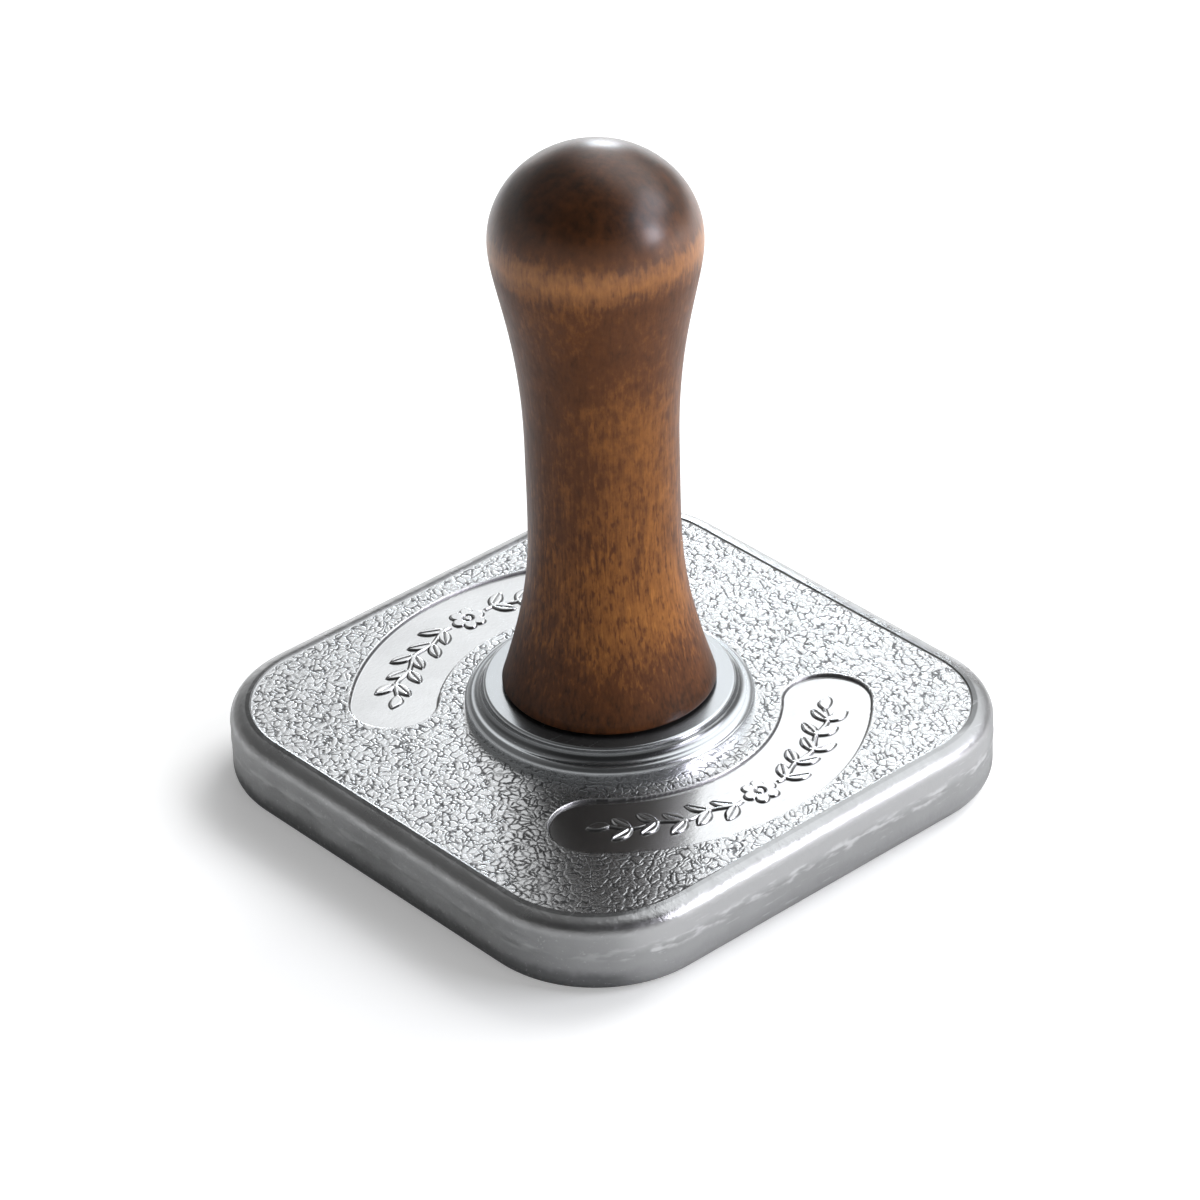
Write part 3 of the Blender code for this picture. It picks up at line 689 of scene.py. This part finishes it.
def leafOutline(length, fullness, inset, steps):
    # a pointed leaf between two arcs, along X from the origin, drawn in by an inset
    halfLength = length / 2
    halfWidth = halfLength * fullness
    radius = (halfLength ** 2 + halfWidth ** 2) / (2 * halfWidth)
    offset = radius - halfWidth
    reach = math.acos(min(offset / (radius - inset), 1.0))
    points = []
    for side in (1, -1):
        for step in range(steps):
            angle = side * (reach - 2 * reach * step / steps)
            points.append((halfLength + (radius - inset) * math.sin(angle),
                           side * ((radius - inset) * math.cos(angle) - offset)))
    return points


def placed(radius, bearing, turn=0.0):
    # a place on the face, its X turned from the outward direction; angles in degrees
    outward = Matrix.Rotation(math.radians(bearing), 4, "Z") @ Matrix.Translation((radius, 0, 0))
    return outward @ Matrix.Rotation(math.radians(turn), 4, "Z")


def addLeaf(mesh, place, length, fullness, steps, slot, outlined=False):
    # a drafted leaf of the relief; an outlined one is sunk again inside its rib, and has a vein
    levels = wallLevels() + (pocketLevels() if outlined else [])
    loops = [[place @ Vector((x, y, level)) for x, y in leafOutline(length, fullness, inset, steps)]
             for inset, level in levels]
    if not outlined:
        loops.append([place @ Vector((length / 2, 0, relief["crest"] - 0.04))])
    skinLoops(mesh, loops, [slot] * len(loops))
    if outlined:
        vein = place @ Matrix.Translation((length * relief["veinStart"], 0, 0))
        addLeaf(mesh, vein, length * relief["veinShare"], relief["veinFullness"], 10, slot)


def addBead(mesh, place, radius, dome, slot, count):
    # a round boss of the relief with a drafted foot and a domed crest
    foot = relief["crest"] + dome
    lean = (head["faceDepth"] - foot) * math.tan(math.radians(head["draft"]))
    rings = [(radius + lean, head["faceDepth"])]
    rings += [(radius * math.cos(math.radians(a)), foot - dome * math.sin(math.radians(a)))
              for a in range(0, 90, 15)]
    loops = [[place @ point for point in circleLoop(ring, level, count)] for ring, level in rings]
    loops.append([place @ Vector((0, 0, relief["crest"]))])
    skinLoops(mesh, loops, [slot] * len(loops))


def addRelief(mesh, slot):
    # a rosette in a ring, corner sprays with wings, side leaves and beads
    bead = (relief["bead"], relief["beadDome"], slot, relief["beadSpokes"])
    inside = relief["ringRadius"] - relief["ringWidth"] / 2
    outside = relief["ringRadius"] + relief["ringWidth"] / 2
    petalRoot = relief["button"] + relief["gap"]
    petalLength = inside - relief["gap"] - petalRoot
    sprayRoot = outside + relief["sprayGap"]
    corner = (relief["faceHalf"] - relief["faceCorner"]) * math.sqrt(2) + relief["faceCorner"]
    middle = (outside + relief["faceHalf"]) / 2     # of the strip between the ring and a side
    addBead(mesh, placed(0, 0), relief["button"], relief["buttonDome"], slot, 64)
    for index in range(relief["petals"]):
        bearing = 360 * index / relief["petals"]
        addLeaf(mesh, placed(petalRoot, bearing + 180 / relief["petals"]), petalLength,
                relief["petalFullness"], 24, slot, outlined=True)
        addBead(mesh, placed(petalRoot + petalLength - relief["bead"], bearing), *bead)
    ring = [(inside + inset, level) for inset, level in wallLevels()]
    ring += [(outside - inset, level) for inset, level in reversed(wallLevels())]
    skinLoops(mesh, [circleLoop(radius, level, 192) for radius, level in ring], [slot] * len(ring))
    for bearing in (0, 90, 180, 270):
        addLeaf(mesh, placed(sprayRoot, bearing + 45), corner - relief["sprayGap"] - sprayRoot,
                relief["sprayFullness"], 20, slot, outlined=True)
        addBead(mesh, placed(middle, bearing), *bead)
        for side in (1, -1):
            wing = placed(middle, bearing + 45 + side * relief["wingSplay"], side * relief["wingTurn"])
            addLeaf(mesh, wing, relief["wingLength"], relief["wingFullness"], 16, slot)
            beside = Matrix.Translation((0, side * (relief["bead"] + relief["sideGap"]), 0))
            along = Matrix.Rotation(side * math.pi / 2, 4, "Z")
            addLeaf(mesh, placed(middle, bearing) @ beside @ along, relief["sideLeaf"],
                    relief["sideFullness"], 14, slot)


def makeHead():
    metals = [makeFieldMetal(), makeEdgeMetal(), makeBossMetal(), makePanelMetal(), makeFaceMetal(),
              makeThreadMetal("tappedAluminium", (0.7, 0.7, 0.71), (0.5, 0.5, 0.51), 0.3)]
    field, edge, turned, smooth, face, tapped = range(6)
    noise.seed_set(crackle["seed"])     # or else the crackle changes with the clock
    loops = boreLoops()
    slots = [tapped] * (len(loops) - 1)
    for radius, height in bossProfile():
        loops.append(circleLoop(radius, height, head["edgeSpokes"]))
        slots.append(turned)
    cracks = {}
    count = head["fieldSpokes"]
    inner, lipFoot = boss["shoulderRadius"] + 0.05, edgeProfile()[0][0]
    for row in range(head["fieldLoops"] + 1):
        loop = []
        for index in range(count):
            angle = math.tau * index / count
            outer = squareReach(angle, lipFoot)
            point, cracks[len(loops), index] = fieldPoint(angle, row / head["fieldLoops"], inner, outer)
            loop.append(point)
        loops.append(loop)
        slots.append(field)
    slots[-1] = edge     # the lip's inner slope
    for inset, height in edgeProfile()[1:]:
        onLip = height > head["thickness"] - 0.1 and inset > head["topRound"]
        spokes = count if onLip else head["edgeSpokes"]
        onSeam = height in seam["levels"]
        loops.append(seamLoop(height, spokes) if onSeam else squareLoop(inset, height, spokes))
        slots.append(edge)
    slots[-2] = face     # the chamfer inside the rim
    mesh = bmesh.new()
    layer = mesh.verts.layers.float.new("crack")
    rings = skinLoops(mesh, loops, slots)
    for (row, index), depth in cracks.items():
        rings[row][index][layer] = depth
    addRelief(mesh, face)
    edges = [part for part in mesh.edges if part.is_boundary]
    floor = bmesh.ops.triangle_fill(mesh, use_beauty=True, edges=edges, normal=(0, 0, -1))
    for part in floor["geom"]:
        if isinstance(part, bmesh.types.BMFace):
            part.material_index = face
    bmesh.ops.dissolve_degenerate(mesh, edges=mesh.edges, dist=0.004 * mm)
    for part in mesh.faces:
        if part.material_index == field:
            middle = part.calc_center_median() / mm
            if panelDistance(middle.x, middle.y)[0] < -panel["slope"]:
                part.material_index = smooth
    return finishPiece("stampHead", mesh, "head", metals, 62.0, ("stamp_head",))


makeHead()


# The wood of the handle.

wood = {
    "dark": (0.021, 0.0072, 0.0018),
    "middle": (0.130, 0.042, 0.0105),
    "light": (0.44, 0.165, 0.034),
    "mirrored": (0.058, 0.053, 0.050),     # painted reflection: a grey that the metal mirrors in place of the stain
    "from": 13.0, "to": 87.0,     # heights in mm between which the next three run
    "stain": (     # height in mm, lightness
        (13.5, 0.23), (18.5, 0.44), (26, 0.61), (40, 0.5), (60, 0.44), (71.4, 0.45), (73.2, 0.66),
        (74.6, 0.88), (75.8, 0.8), (77.4, 0.5), (79.6, 0.3), (81, 0.14), (86, 0.13)),
    "lively": ((0.0, 0.55), (0.14, 1.0), (0.3, 0.95), (0.5, 0.45), (0.76, 0.3), (0.83, 0.6), (0.9, 0.1)),
    "sideLight": ((0.04, 0.0), (0.2, 0.8), (0.5, 0.9), (0.7, 0.0)),     # painted light: the lower half paler on the side that faces the lamps
    "sideLightBearing": -8.0,     # degrees
    "sideLightFrom": 5.6, "sideLightTo": 9.0, "sideLightShare": 0.19,     # mm off the axis, and how much it lightens
    "bodyPolish": 0.18, "knobPolish": 1.0,
    "polishFrom": 71.0, "polishTo": 77.0,     # mm, where the knob's polish starts and is full
}


def stretchedNoise(tree, place, across, along, detail=2.0, roughness=0.5):
    # noise whose features are so many mm wide across and along the grain, which runs up Z
    scale = (1 / mm / across, 1 / mm / across, 1 / mm / along)
    return noiseNode(tree, mapPlace(tree, place, Scale=scale), 1.0, detail, roughness)


def makeRamp(tree, value, stops):
    # a smooth curve through (place, level) pairs
    ramp = addNode(tree, "ShaderNodeValToRGB", {0: value})
    ramp.color_ramp.interpolation = "EASE"
    while len(ramp.color_ramp.elements) < len(stops):
        ramp.color_ramp.elements.new(0.5)
    for element, (stop, level) in zip(ramp.color_ramp.elements, stops):
        element.position = stop
        element.color = (level, level, level, 1)
    return ramp.outputs[0]


def makeWood():
    # stained hardwood: fibres along Z, mottled stain, flecks, more stain where the grain ends, and painted
    # light on the side that faces the lamps
    finish, tree, shader = newMaterial("stainedHardwood", 0.4, Coat_Roughness=0.3, Specular_IOR_Level=0.12)
    place = objectPlace(tree)
    x, y, z = splitPlace(tree, place)
    height = mathNode(tree, "DIVIDE", z, mm)
    ragged = stretchedNoise(tree, place, 0.9, 6.0, 3.0)
    level = addUp(tree, height, mapRange(tree, ragged, 0.3, 0.7, -0.65, 0.65))
    foot, top = wood["from"], wood["to"]
    share = mapRange(tree, level, foot, top)
    stain = makeRamp(tree, share, [((stop - foot) / (top - foot), tone) for stop, tone in wood["stain"]])
    lively = makeRamp(tree, mapRange(tree, height, foot, top), wood["lively"])
    # painted light: paler on the side that faces the lamps
    bearing = math.radians(wood["sideLightBearing"])
    across = addUp(tree, multiply(tree, x, math.cos(bearing) / mm), multiply(tree, y, math.sin(bearing) / mm))
    sideLight = multiply(tree, smoothRange(tree, across, wood["sideLightFrom"], wood["sideLightTo"]),
                     makeRamp(tree, share, wood["sideLight"]))
    shifted = mapPlace(tree, place, Location=(0.1, 0.2, 0.3))
    fibres = stretchedNoise(tree, place, 0.42, 5.0, 3.0, 0.6)
    smears = stretchedNoise(tree, place, 1.2, 1.7, 4.0, 0.65)
    darkFlecks = stretchedNoise(tree, place, 0.45, 1.6)
    paleFlecks = stretchedNoise(tree, shifted, 0.45, 2.4)
    blotches = stretchedNoise(tree, place, 7.0, 10.0, 3.0, 0.55)
    detail = addUp(tree, mapRange(tree, fibres, 0.3, 0.7, -0.14, 0.14),
                   smoothRange(tree, darkFlecks, 0.53, 0.68, 0.0, -0.2),
                   smoothRange(tree, paleFlecks, 0.55, 0.7, 0.0, 0.16))
    lightness = addUp(tree, stain, multiply(tree, detail, lively),
                      mapRange(tree, smears, 0.3, 0.7, -0.11, 0.11),
                      mapRange(tree, blotches, 0.3, 0.7, -0.1, 0.1),
                      multiply(tree, sideLight, wood["sideLightShare"]))
    tones = addNode(tree, "ShaderNodeValToRGB", {0: lightness})
    tones.color_ramp.elements[0].color = (*wood["dark"], 1)
    tones.color_ramp.elements[1].color = (*wood["light"], 1)
    tones.color_ramp.elements.new(0.5).color = (*wood["middle"], 1)
    # painted reflection: what is mirrored shows a grey in place of the stain
    seen = addNode(tree, "ShaderNodeLightPath").outputs["Is Glossy Ray"]
    polish = smoothRange(tree, height, wood["polishFrom"], wood["polishTo"],
                         wood["bodyPolish"], wood["knobPolish"])
    tree.links.new(polish, shader.inputs["Coat Weight"])
    rings = placeGroup(tree, latheRings, Pitch=0.5, Breaks=0.6)["Height"]
    finishSurface(tree, shader, mixColour(tree, seen, tones.outputs[0], wood["mirrored"]),
                  mapRange(tree, fibres, 0.3, 0.7, 0.46, 0.34),
                  addUp(tree, multiply(tree, fibres, 0.7), multiply(tree, rings, 0.5)), 0.02)
    return finish


handle = {
    "foot": 13.5, "footRadius": 13.2, "footRound": 0.35, "footFlare": 17.5,
    "waistRadius": 9.3, "waistHeight": 33.2,
    "knobRadius": 12.75, "knobHeight": 61.1, "knobDome": 11.6,
    "flareEase": 0.43, "neckEase": 0.56, "knobEase": 0.18,
    "spokes": 192,
}
socket = {
    "washerRadius": 11.9, "washerTop": 14.8, "flangeRadius": 6.7, "flangeTop": 16.1,
    "boreRadius": 5.3, "boreTop": 27.8, "drillAngle": 59.0, "chamfer": 0.15,
}


def handleProfile():
    # from the top of the knob down to the foot, and up through the hole for the insert
    waist, waistRadius = handle["foot"] + handle["waistHeight"], handle["waistRadius"]
    knob, knobRadius = handle["foot"] + handle["knobHeight"], handle["knobRadius"]
    points = [(0.0, knob + handle["knobDome"])]
    for step in range(1, 30):
        angle = math.radians(90 - 3 * step)
        points.append((knobRadius * math.cos(angle), knob + handle["knobDome"] * math.sin(angle)))
    neck = knob - waist
    points += bendPoints((knobRadius, knob), (knobRadius, knob - handle["knobEase"] * neck),
                         (waistRadius, waist + handle["neckEase"] * neck), (waistRadius, waist), 36)
    footRadius, soft = handle["footRadius"], handle["footRound"]
    edge = handle["foot"] + soft
    pull = handle["flareEase"] * (waist - edge)
    flare = pull * math.tan(math.radians(handle["footFlare"]))
    points += bendPoints((waistRadius, waist), (waistRadius, waist - pull), (footRadius - flare, edge + pull),
                         (footRadius, edge), 40)[1:]
    points += arcPoints((footRadius - soft, edge), soft, 0, -90, 4)[1:]
    points.append((socket["washerRadius"] + socket["chamfer"], handle["foot"]))
    low = handle["foot"] + socket["chamfer"]
    for step in ("washer", "flange", "bore"):
        radius, top = socket[step + "Radius"], socket[step + "Top"]
        points += [(radius, low), (radius, top)]
        low = top
    return points + [(0.0, top + radius / math.tan(math.radians(socket["drillAngle"])))]


turnPiece("turnedHandle", handleProfile(), handle["spokes"], "handle", [makeWood()],
          stands=("handle",))


# The washer, the insert and the stud.

def makeRubber():
    finish, tree, shader = newMaterial("blackRubber", 0.62, Specular_IOR_Level=0.35)
    skin = placeGroup(tree, castGrain, Size=0.2, Swell=0.5)
    finishSurface(tree, shader, mixColour(tree, skin["Mottle"], (0.010, 0.010, 0.011), (0.02, 0.02, 0.021)),
                  blend(tree, skin["Mottle"], 0.55, 0.7), skin["Height"], 0.015)
    return finish


washer = {"radius": 11.6, "hole": 3.775, "bottom": 13.5, "thickness": 1.0, "round": 0.25, "spokes": 128}
insert = {
    "bottom": 14.8, "length": 12.7, "radius": 5.0, "barbDepth": 0.5, "barbs": 5,
    "flangeRadius": 6.4, "flange": 1.0, "chamfer": 0.15, "mouth": 0.4, "spokes": 96,
}
stud = {"tip": 5.58, "top": 27.0, "chamfer": 0.6, "hex": 3.175, "hexDepth": 2.5, "spokes": 72}


def washerProfile():
    low, high, soft = washer["bottom"], washer["bottom"] + washer["thickness"], washer["round"]
    points = [(washer["hole"], high - soft), (washer["hole"], low + soft), (washer["hole"] + soft, low)]
    points += arcPoints((washer["radius"] - soft, low + soft), soft, -90, 0, 3)
    points += arcPoints((washer["radius"] - soft, high - soft), soft, 0, 90, 3)
    return points + [(washer["hole"] + soft, high)]


def insertProfile():
    low, wide, chamfer = insert["bottom"], insert["flangeRadius"], insert["chamfer"]
    root = insert["radius"] - insert["barbDepth"]
    start = low + insert["flange"]
    pitch = (insert["length"] - insert["flange"]) / insert["barbs"]
    bore = thread["radius"] + thread["clearance"]
    points = [(bore + insert["mouth"], low), (wide - chamfer, low), (wide, low + chamfer),
              (wide, start - chamfer), (wide - chamfer, start), (root, start)]
    for index in range(insert["barbs"]):
        level = start + index * pitch
        barb = (insert["radius"], level + pitch * 0.35)
        points += [(root, level + pitch * 0.3), barb, (root, level + pitch)]
    return points + [(bore, low + insert["length"]), (bore, low + insert["mouth"])]


def makeStud():
    # threaded all along, with a hexagon socket in its tip
    mesh = bmesh.new()
    count, tip, top = stud["spokes"], stud["tip"], stud["top"]
    end, deep = thread["radius"] - stud["chamfer"], tip + stud["hexDepth"]
    flats = stud["hex"] / 2

    def hexReach(angle):
        return flats / math.cos((angle + math.pi / 6) % (math.pi / 3) - math.pi / 6)

    loops = [[Vector((0, 0, deep + 0.6))], circleLoop(hexReach, deep, count),
             circleLoop(hexReach, tip, count), circleLoop(end, tip, count)]
    steps = round((top - tip) / thread["pitch"] * thread["steps"])
    for step in range(steps + 1):
        level = tip + 0.02 + (top - tip - 0.04) * step / steps
        cone = min(level - tip, top - level) + end
        loops.append(circleLoop(lambda angle: min(cone, threadRadius(angle, level, thread["radius"])),
                                level, count))
    loops += [circleLoop(end, top, count), [Vector((0, 0, top))]]
    skinLoops(mesh, loops, [0] * len(loops))
    steel = makeThreadMetal("zincPlatedSteel", (0.62, 0.63, 0.66), (0.46, 0.47, 0.5), 0.24)
    return finishPiece("threadedStud", mesh, "handle", [steel], 50.0, ("stud",))


turnPiece("footWasher", washerProfile(), washer["spokes"], "washer", [makeRubber()],
          stands=("foot_washer",))
turnPiece("barbedInsert", insertProfile(), insert["spokes"], "handle",
          [makeThreadMetal("turnedBrass", (0.78, 0.56, 0.24), (0.55, 0.38, 0.16), 0.22)], 30.0,
          ("threaded_insert",))
makeStud()


# The floor, the light and the camera.

room = {
    "floor": (0.9, 0.9, 0.9),
    "glowSeen": 0.3, "glowMirrored": 0.05,     # lift the floor to white
    "farGlow": 0.7, "farFrom": 400.0, "farTo": 1200.0,     # more of it far away, where the lamps fall off
    "bright": (0.955, 0.98, 1.0), "brightLevel": 1.7,
    "dim": (1.0, 1.0, 1.0), "dimLevel": 0.15,
    "window": (-0.11, 0.86, 0.5),     # the way to the middle of the bright side
    "fadeFrom": 0.62, "fadeTo": 0.92,     # cosines of the angles off it between which it fades
    "sill": 0.3, "sillTo": 0.62,     # sines of the elevation under which that side is dim again
    "dark": (0.5, -0.44, 0.75), "darkShare": 0.35,     # the way to the darkest part of the room
    "darkFrom": 0.45, "darkTo": 0.9,     # cosines of the angles off it between which it gets dark
    "wallLevel": 0.4,     # of pale low walls all round, which only metal mirrors
    "wallTop": 0.3, "wallEnd": 0.55,     # sines of the elevation between which they fade out
}
lamps = {
    # place, width, height, glow, tint, and whether it only shows in what is polished, or else only lights
    "windowRight": ((660, 560, 600), 560, 620, 5.0, (0.93, 0.95, 1.0), False),
    "windowHaze": ((520, 570, 690), 760, 400, 3.0, (0.92, 0.9, 1.0), True),
    "windowSill": ((740, 740, 80), 900, 140, 2.2, (1.0, 1.0, 1.0), True),
    "windowLow": ((790, 440, 420), 240, 220, 17.0, (0.92, 0.9, 1.0), True),
    "windowBack": ((-690, 690, 270), 160, 150, 15.0, (0.85, 0.93, 1.0), True),
    "windowFar": ((-743, 669, 80), 760, 220, 1.3, (1.0, 1.0, 1.0), True),
    "softTop": ((-180, 850, 740), 700, 700, 6.5, (1.0, 1.0, 1.0), False),
    "fill": ((900, -60, 260), 500, 500, 2.6, (1.0, 1.0, 1.0), False),
}
viewpoint = {
    "place": (402.804, -353.408, 368.674),
    "azimuth": 48.828, "elevation": 32.709, "roll": -1.881,     # degrees
    "lens": 156.87,     # on a sensor 36 mm wide
}


def makeFloor():
    bpy.ops.mesh.primitive_plane_add(size=6.0)
    floor = bpy.context.object
    floor.name = "floor"
    finish = bpy.data.materials.new("paleFloor")
    finish.use_nodes = True
    tree = finish.node_tree
    tree.nodes.clear()
    rays = addNode(tree, "ShaderNodeLightPath").outputs
    away = addNode(tree, "ShaderNodeVectorMath", {0: objectPlace(tree)}, operation="LENGTH").outputs["Value"]
    lift = smoothRange(tree, away, room["farFrom"] * mm, room["farTo"] * mm,
                       room["glowSeen"], room["glowSeen"] + room["farGlow"])
    mirrored = mathNode(tree, "MAXIMUM", rays["Is Glossy Ray"], rays["Is Transmission Ray"])
    strength = addUp(tree, multiply(tree, rays["Is Camera Ray"], lift),
                     multiply(tree, mirrored, room["glowMirrored"]))
    glow = addNode(tree, "ShaderNodeEmission", {"Color": (1, 1, 1, 1), "Strength": strength})
    diffuse = addNode(tree, "ShaderNodeBsdfDiffuse", {"Color": (*room["floor"], 1)})
    lifted = addNode(tree, "ShaderNodeAddShader", {0: diffuse.outputs[0], 1: glow.outputs[0]})
    addNode(tree, "ShaderNodeOutputMaterial", {0: lifted.outputs[0]})
    floor.data.materials.append(finish)


def makeWorld():
    # a bright side, as of a large window, and a dim room opposite; the camera itself sees white
    world = bpy.data.worlds.new("studio")
    bpy.context.scene.world = world
    world.use_nodes = True
    tree = world.node_tree
    background = tree.nodes["Background"]
    way = addNode(tree, "ShaderNodeTexCoord").outputs["Generated"]
    toWindow, toDark = (
        addNode(tree, "ShaderNodeVectorMath", {0: way, 1: Vector(room[name]).normalized()},
                operation="DOT_PRODUCT").outputs["Value"] for name in ("window", "dark"))
    level = splitPlace(tree, way)[2]
    share = multiply(tree, smoothRange(tree, toWindow, room["fadeFrom"], room["fadeTo"]),
                     smoothRange(tree, level, room["sill"], room["sillTo"]))
    glow = multiply(tree, blend(tree, share, room["dimLevel"], room["brightLevel"]),
                    smoothRange(tree, toDark, room["darkFrom"], room["darkTo"], 1.0, room["darkShare"]))
    rays = addNode(tree, "ShaderNodeLightPath").outputs
    seen = rays["Is Camera Ray"]
    walls = smoothRange(tree, level, room["wallTop"], room["wallEnd"], room["wallLevel"], 0.0)
    glow = mathNode(tree, "MAXIMUM", glow, multiply(tree, walls, rays["Is Glossy Ray"]))
    tint = mixColour(tree, share, room["dim"], room["bright"])
    tree.links.new(mixColour(tree, seen, tint, (1.0, 1.0, 1.0)), background.inputs["Color"])
    tree.links.new(blend(tree, seen, glow, 1.0), background.inputs["Strength"])


def addLamps():
    for name, (place, width, height, glow, tint, mirrored) in lamps.items():
        light = bpy.data.lights.new(name, "AREA")
        light.shape = "RECTANGLE"
        light.size, light.size_y = width * mm, height * mm
        light.energy = glow * math.pi * light.size * light.size_y
        light.color = tint
        thing = bpy.data.objects.new(name, light)
        bpy.context.scene.collection.objects.link(thing)
        thing.location = Vector(place) * mm
        thing.rotation_euler = (Vector((0, 0, 0.03)) - thing.location).to_track_quat("-Z", "Y").to_euler()
        thing.visible_glossy, thing.visible_diffuse = mirrored, not mirrored


def addCamera():
    azimuth, elevation, roll = (math.radians(viewpoint[name]) for name in ("azimuth", "elevation", "roll"))
    back = Vector((math.sin(azimuth) * math.cos(elevation), -math.cos(azimuth) * math.cos(elevation),
                   math.sin(elevation)))
    right = Vector((math.cos(azimuth), math.sin(azimuth), 0))
    up = back.cross(right)
    across = right * math.cos(roll) + up * math.sin(roll)
    data = bpy.data.cameras.new("camera")
    data.sensor_width = 36
    data.lens = viewpoint["lens"]
    data.clip_start, data.clip_end = 0.02, 20
    camera = bpy.data.objects.new("camera", data)
    bpy.context.scene.collection.objects.link(camera)
    turn = Matrix((across, back.cross(across), back)).transposed().to_4x4()
    camera.matrix_world = Matrix.Translation(Vector(viewpoint["place"]) * mm) @ turn
    bpy.context.scene.camera = camera


makeFloor()
makeWorld()
addLamps()
addCamera()
bpy.context.scene.view_settings.view_transform = "Standard"
print("floor, light and camera set")
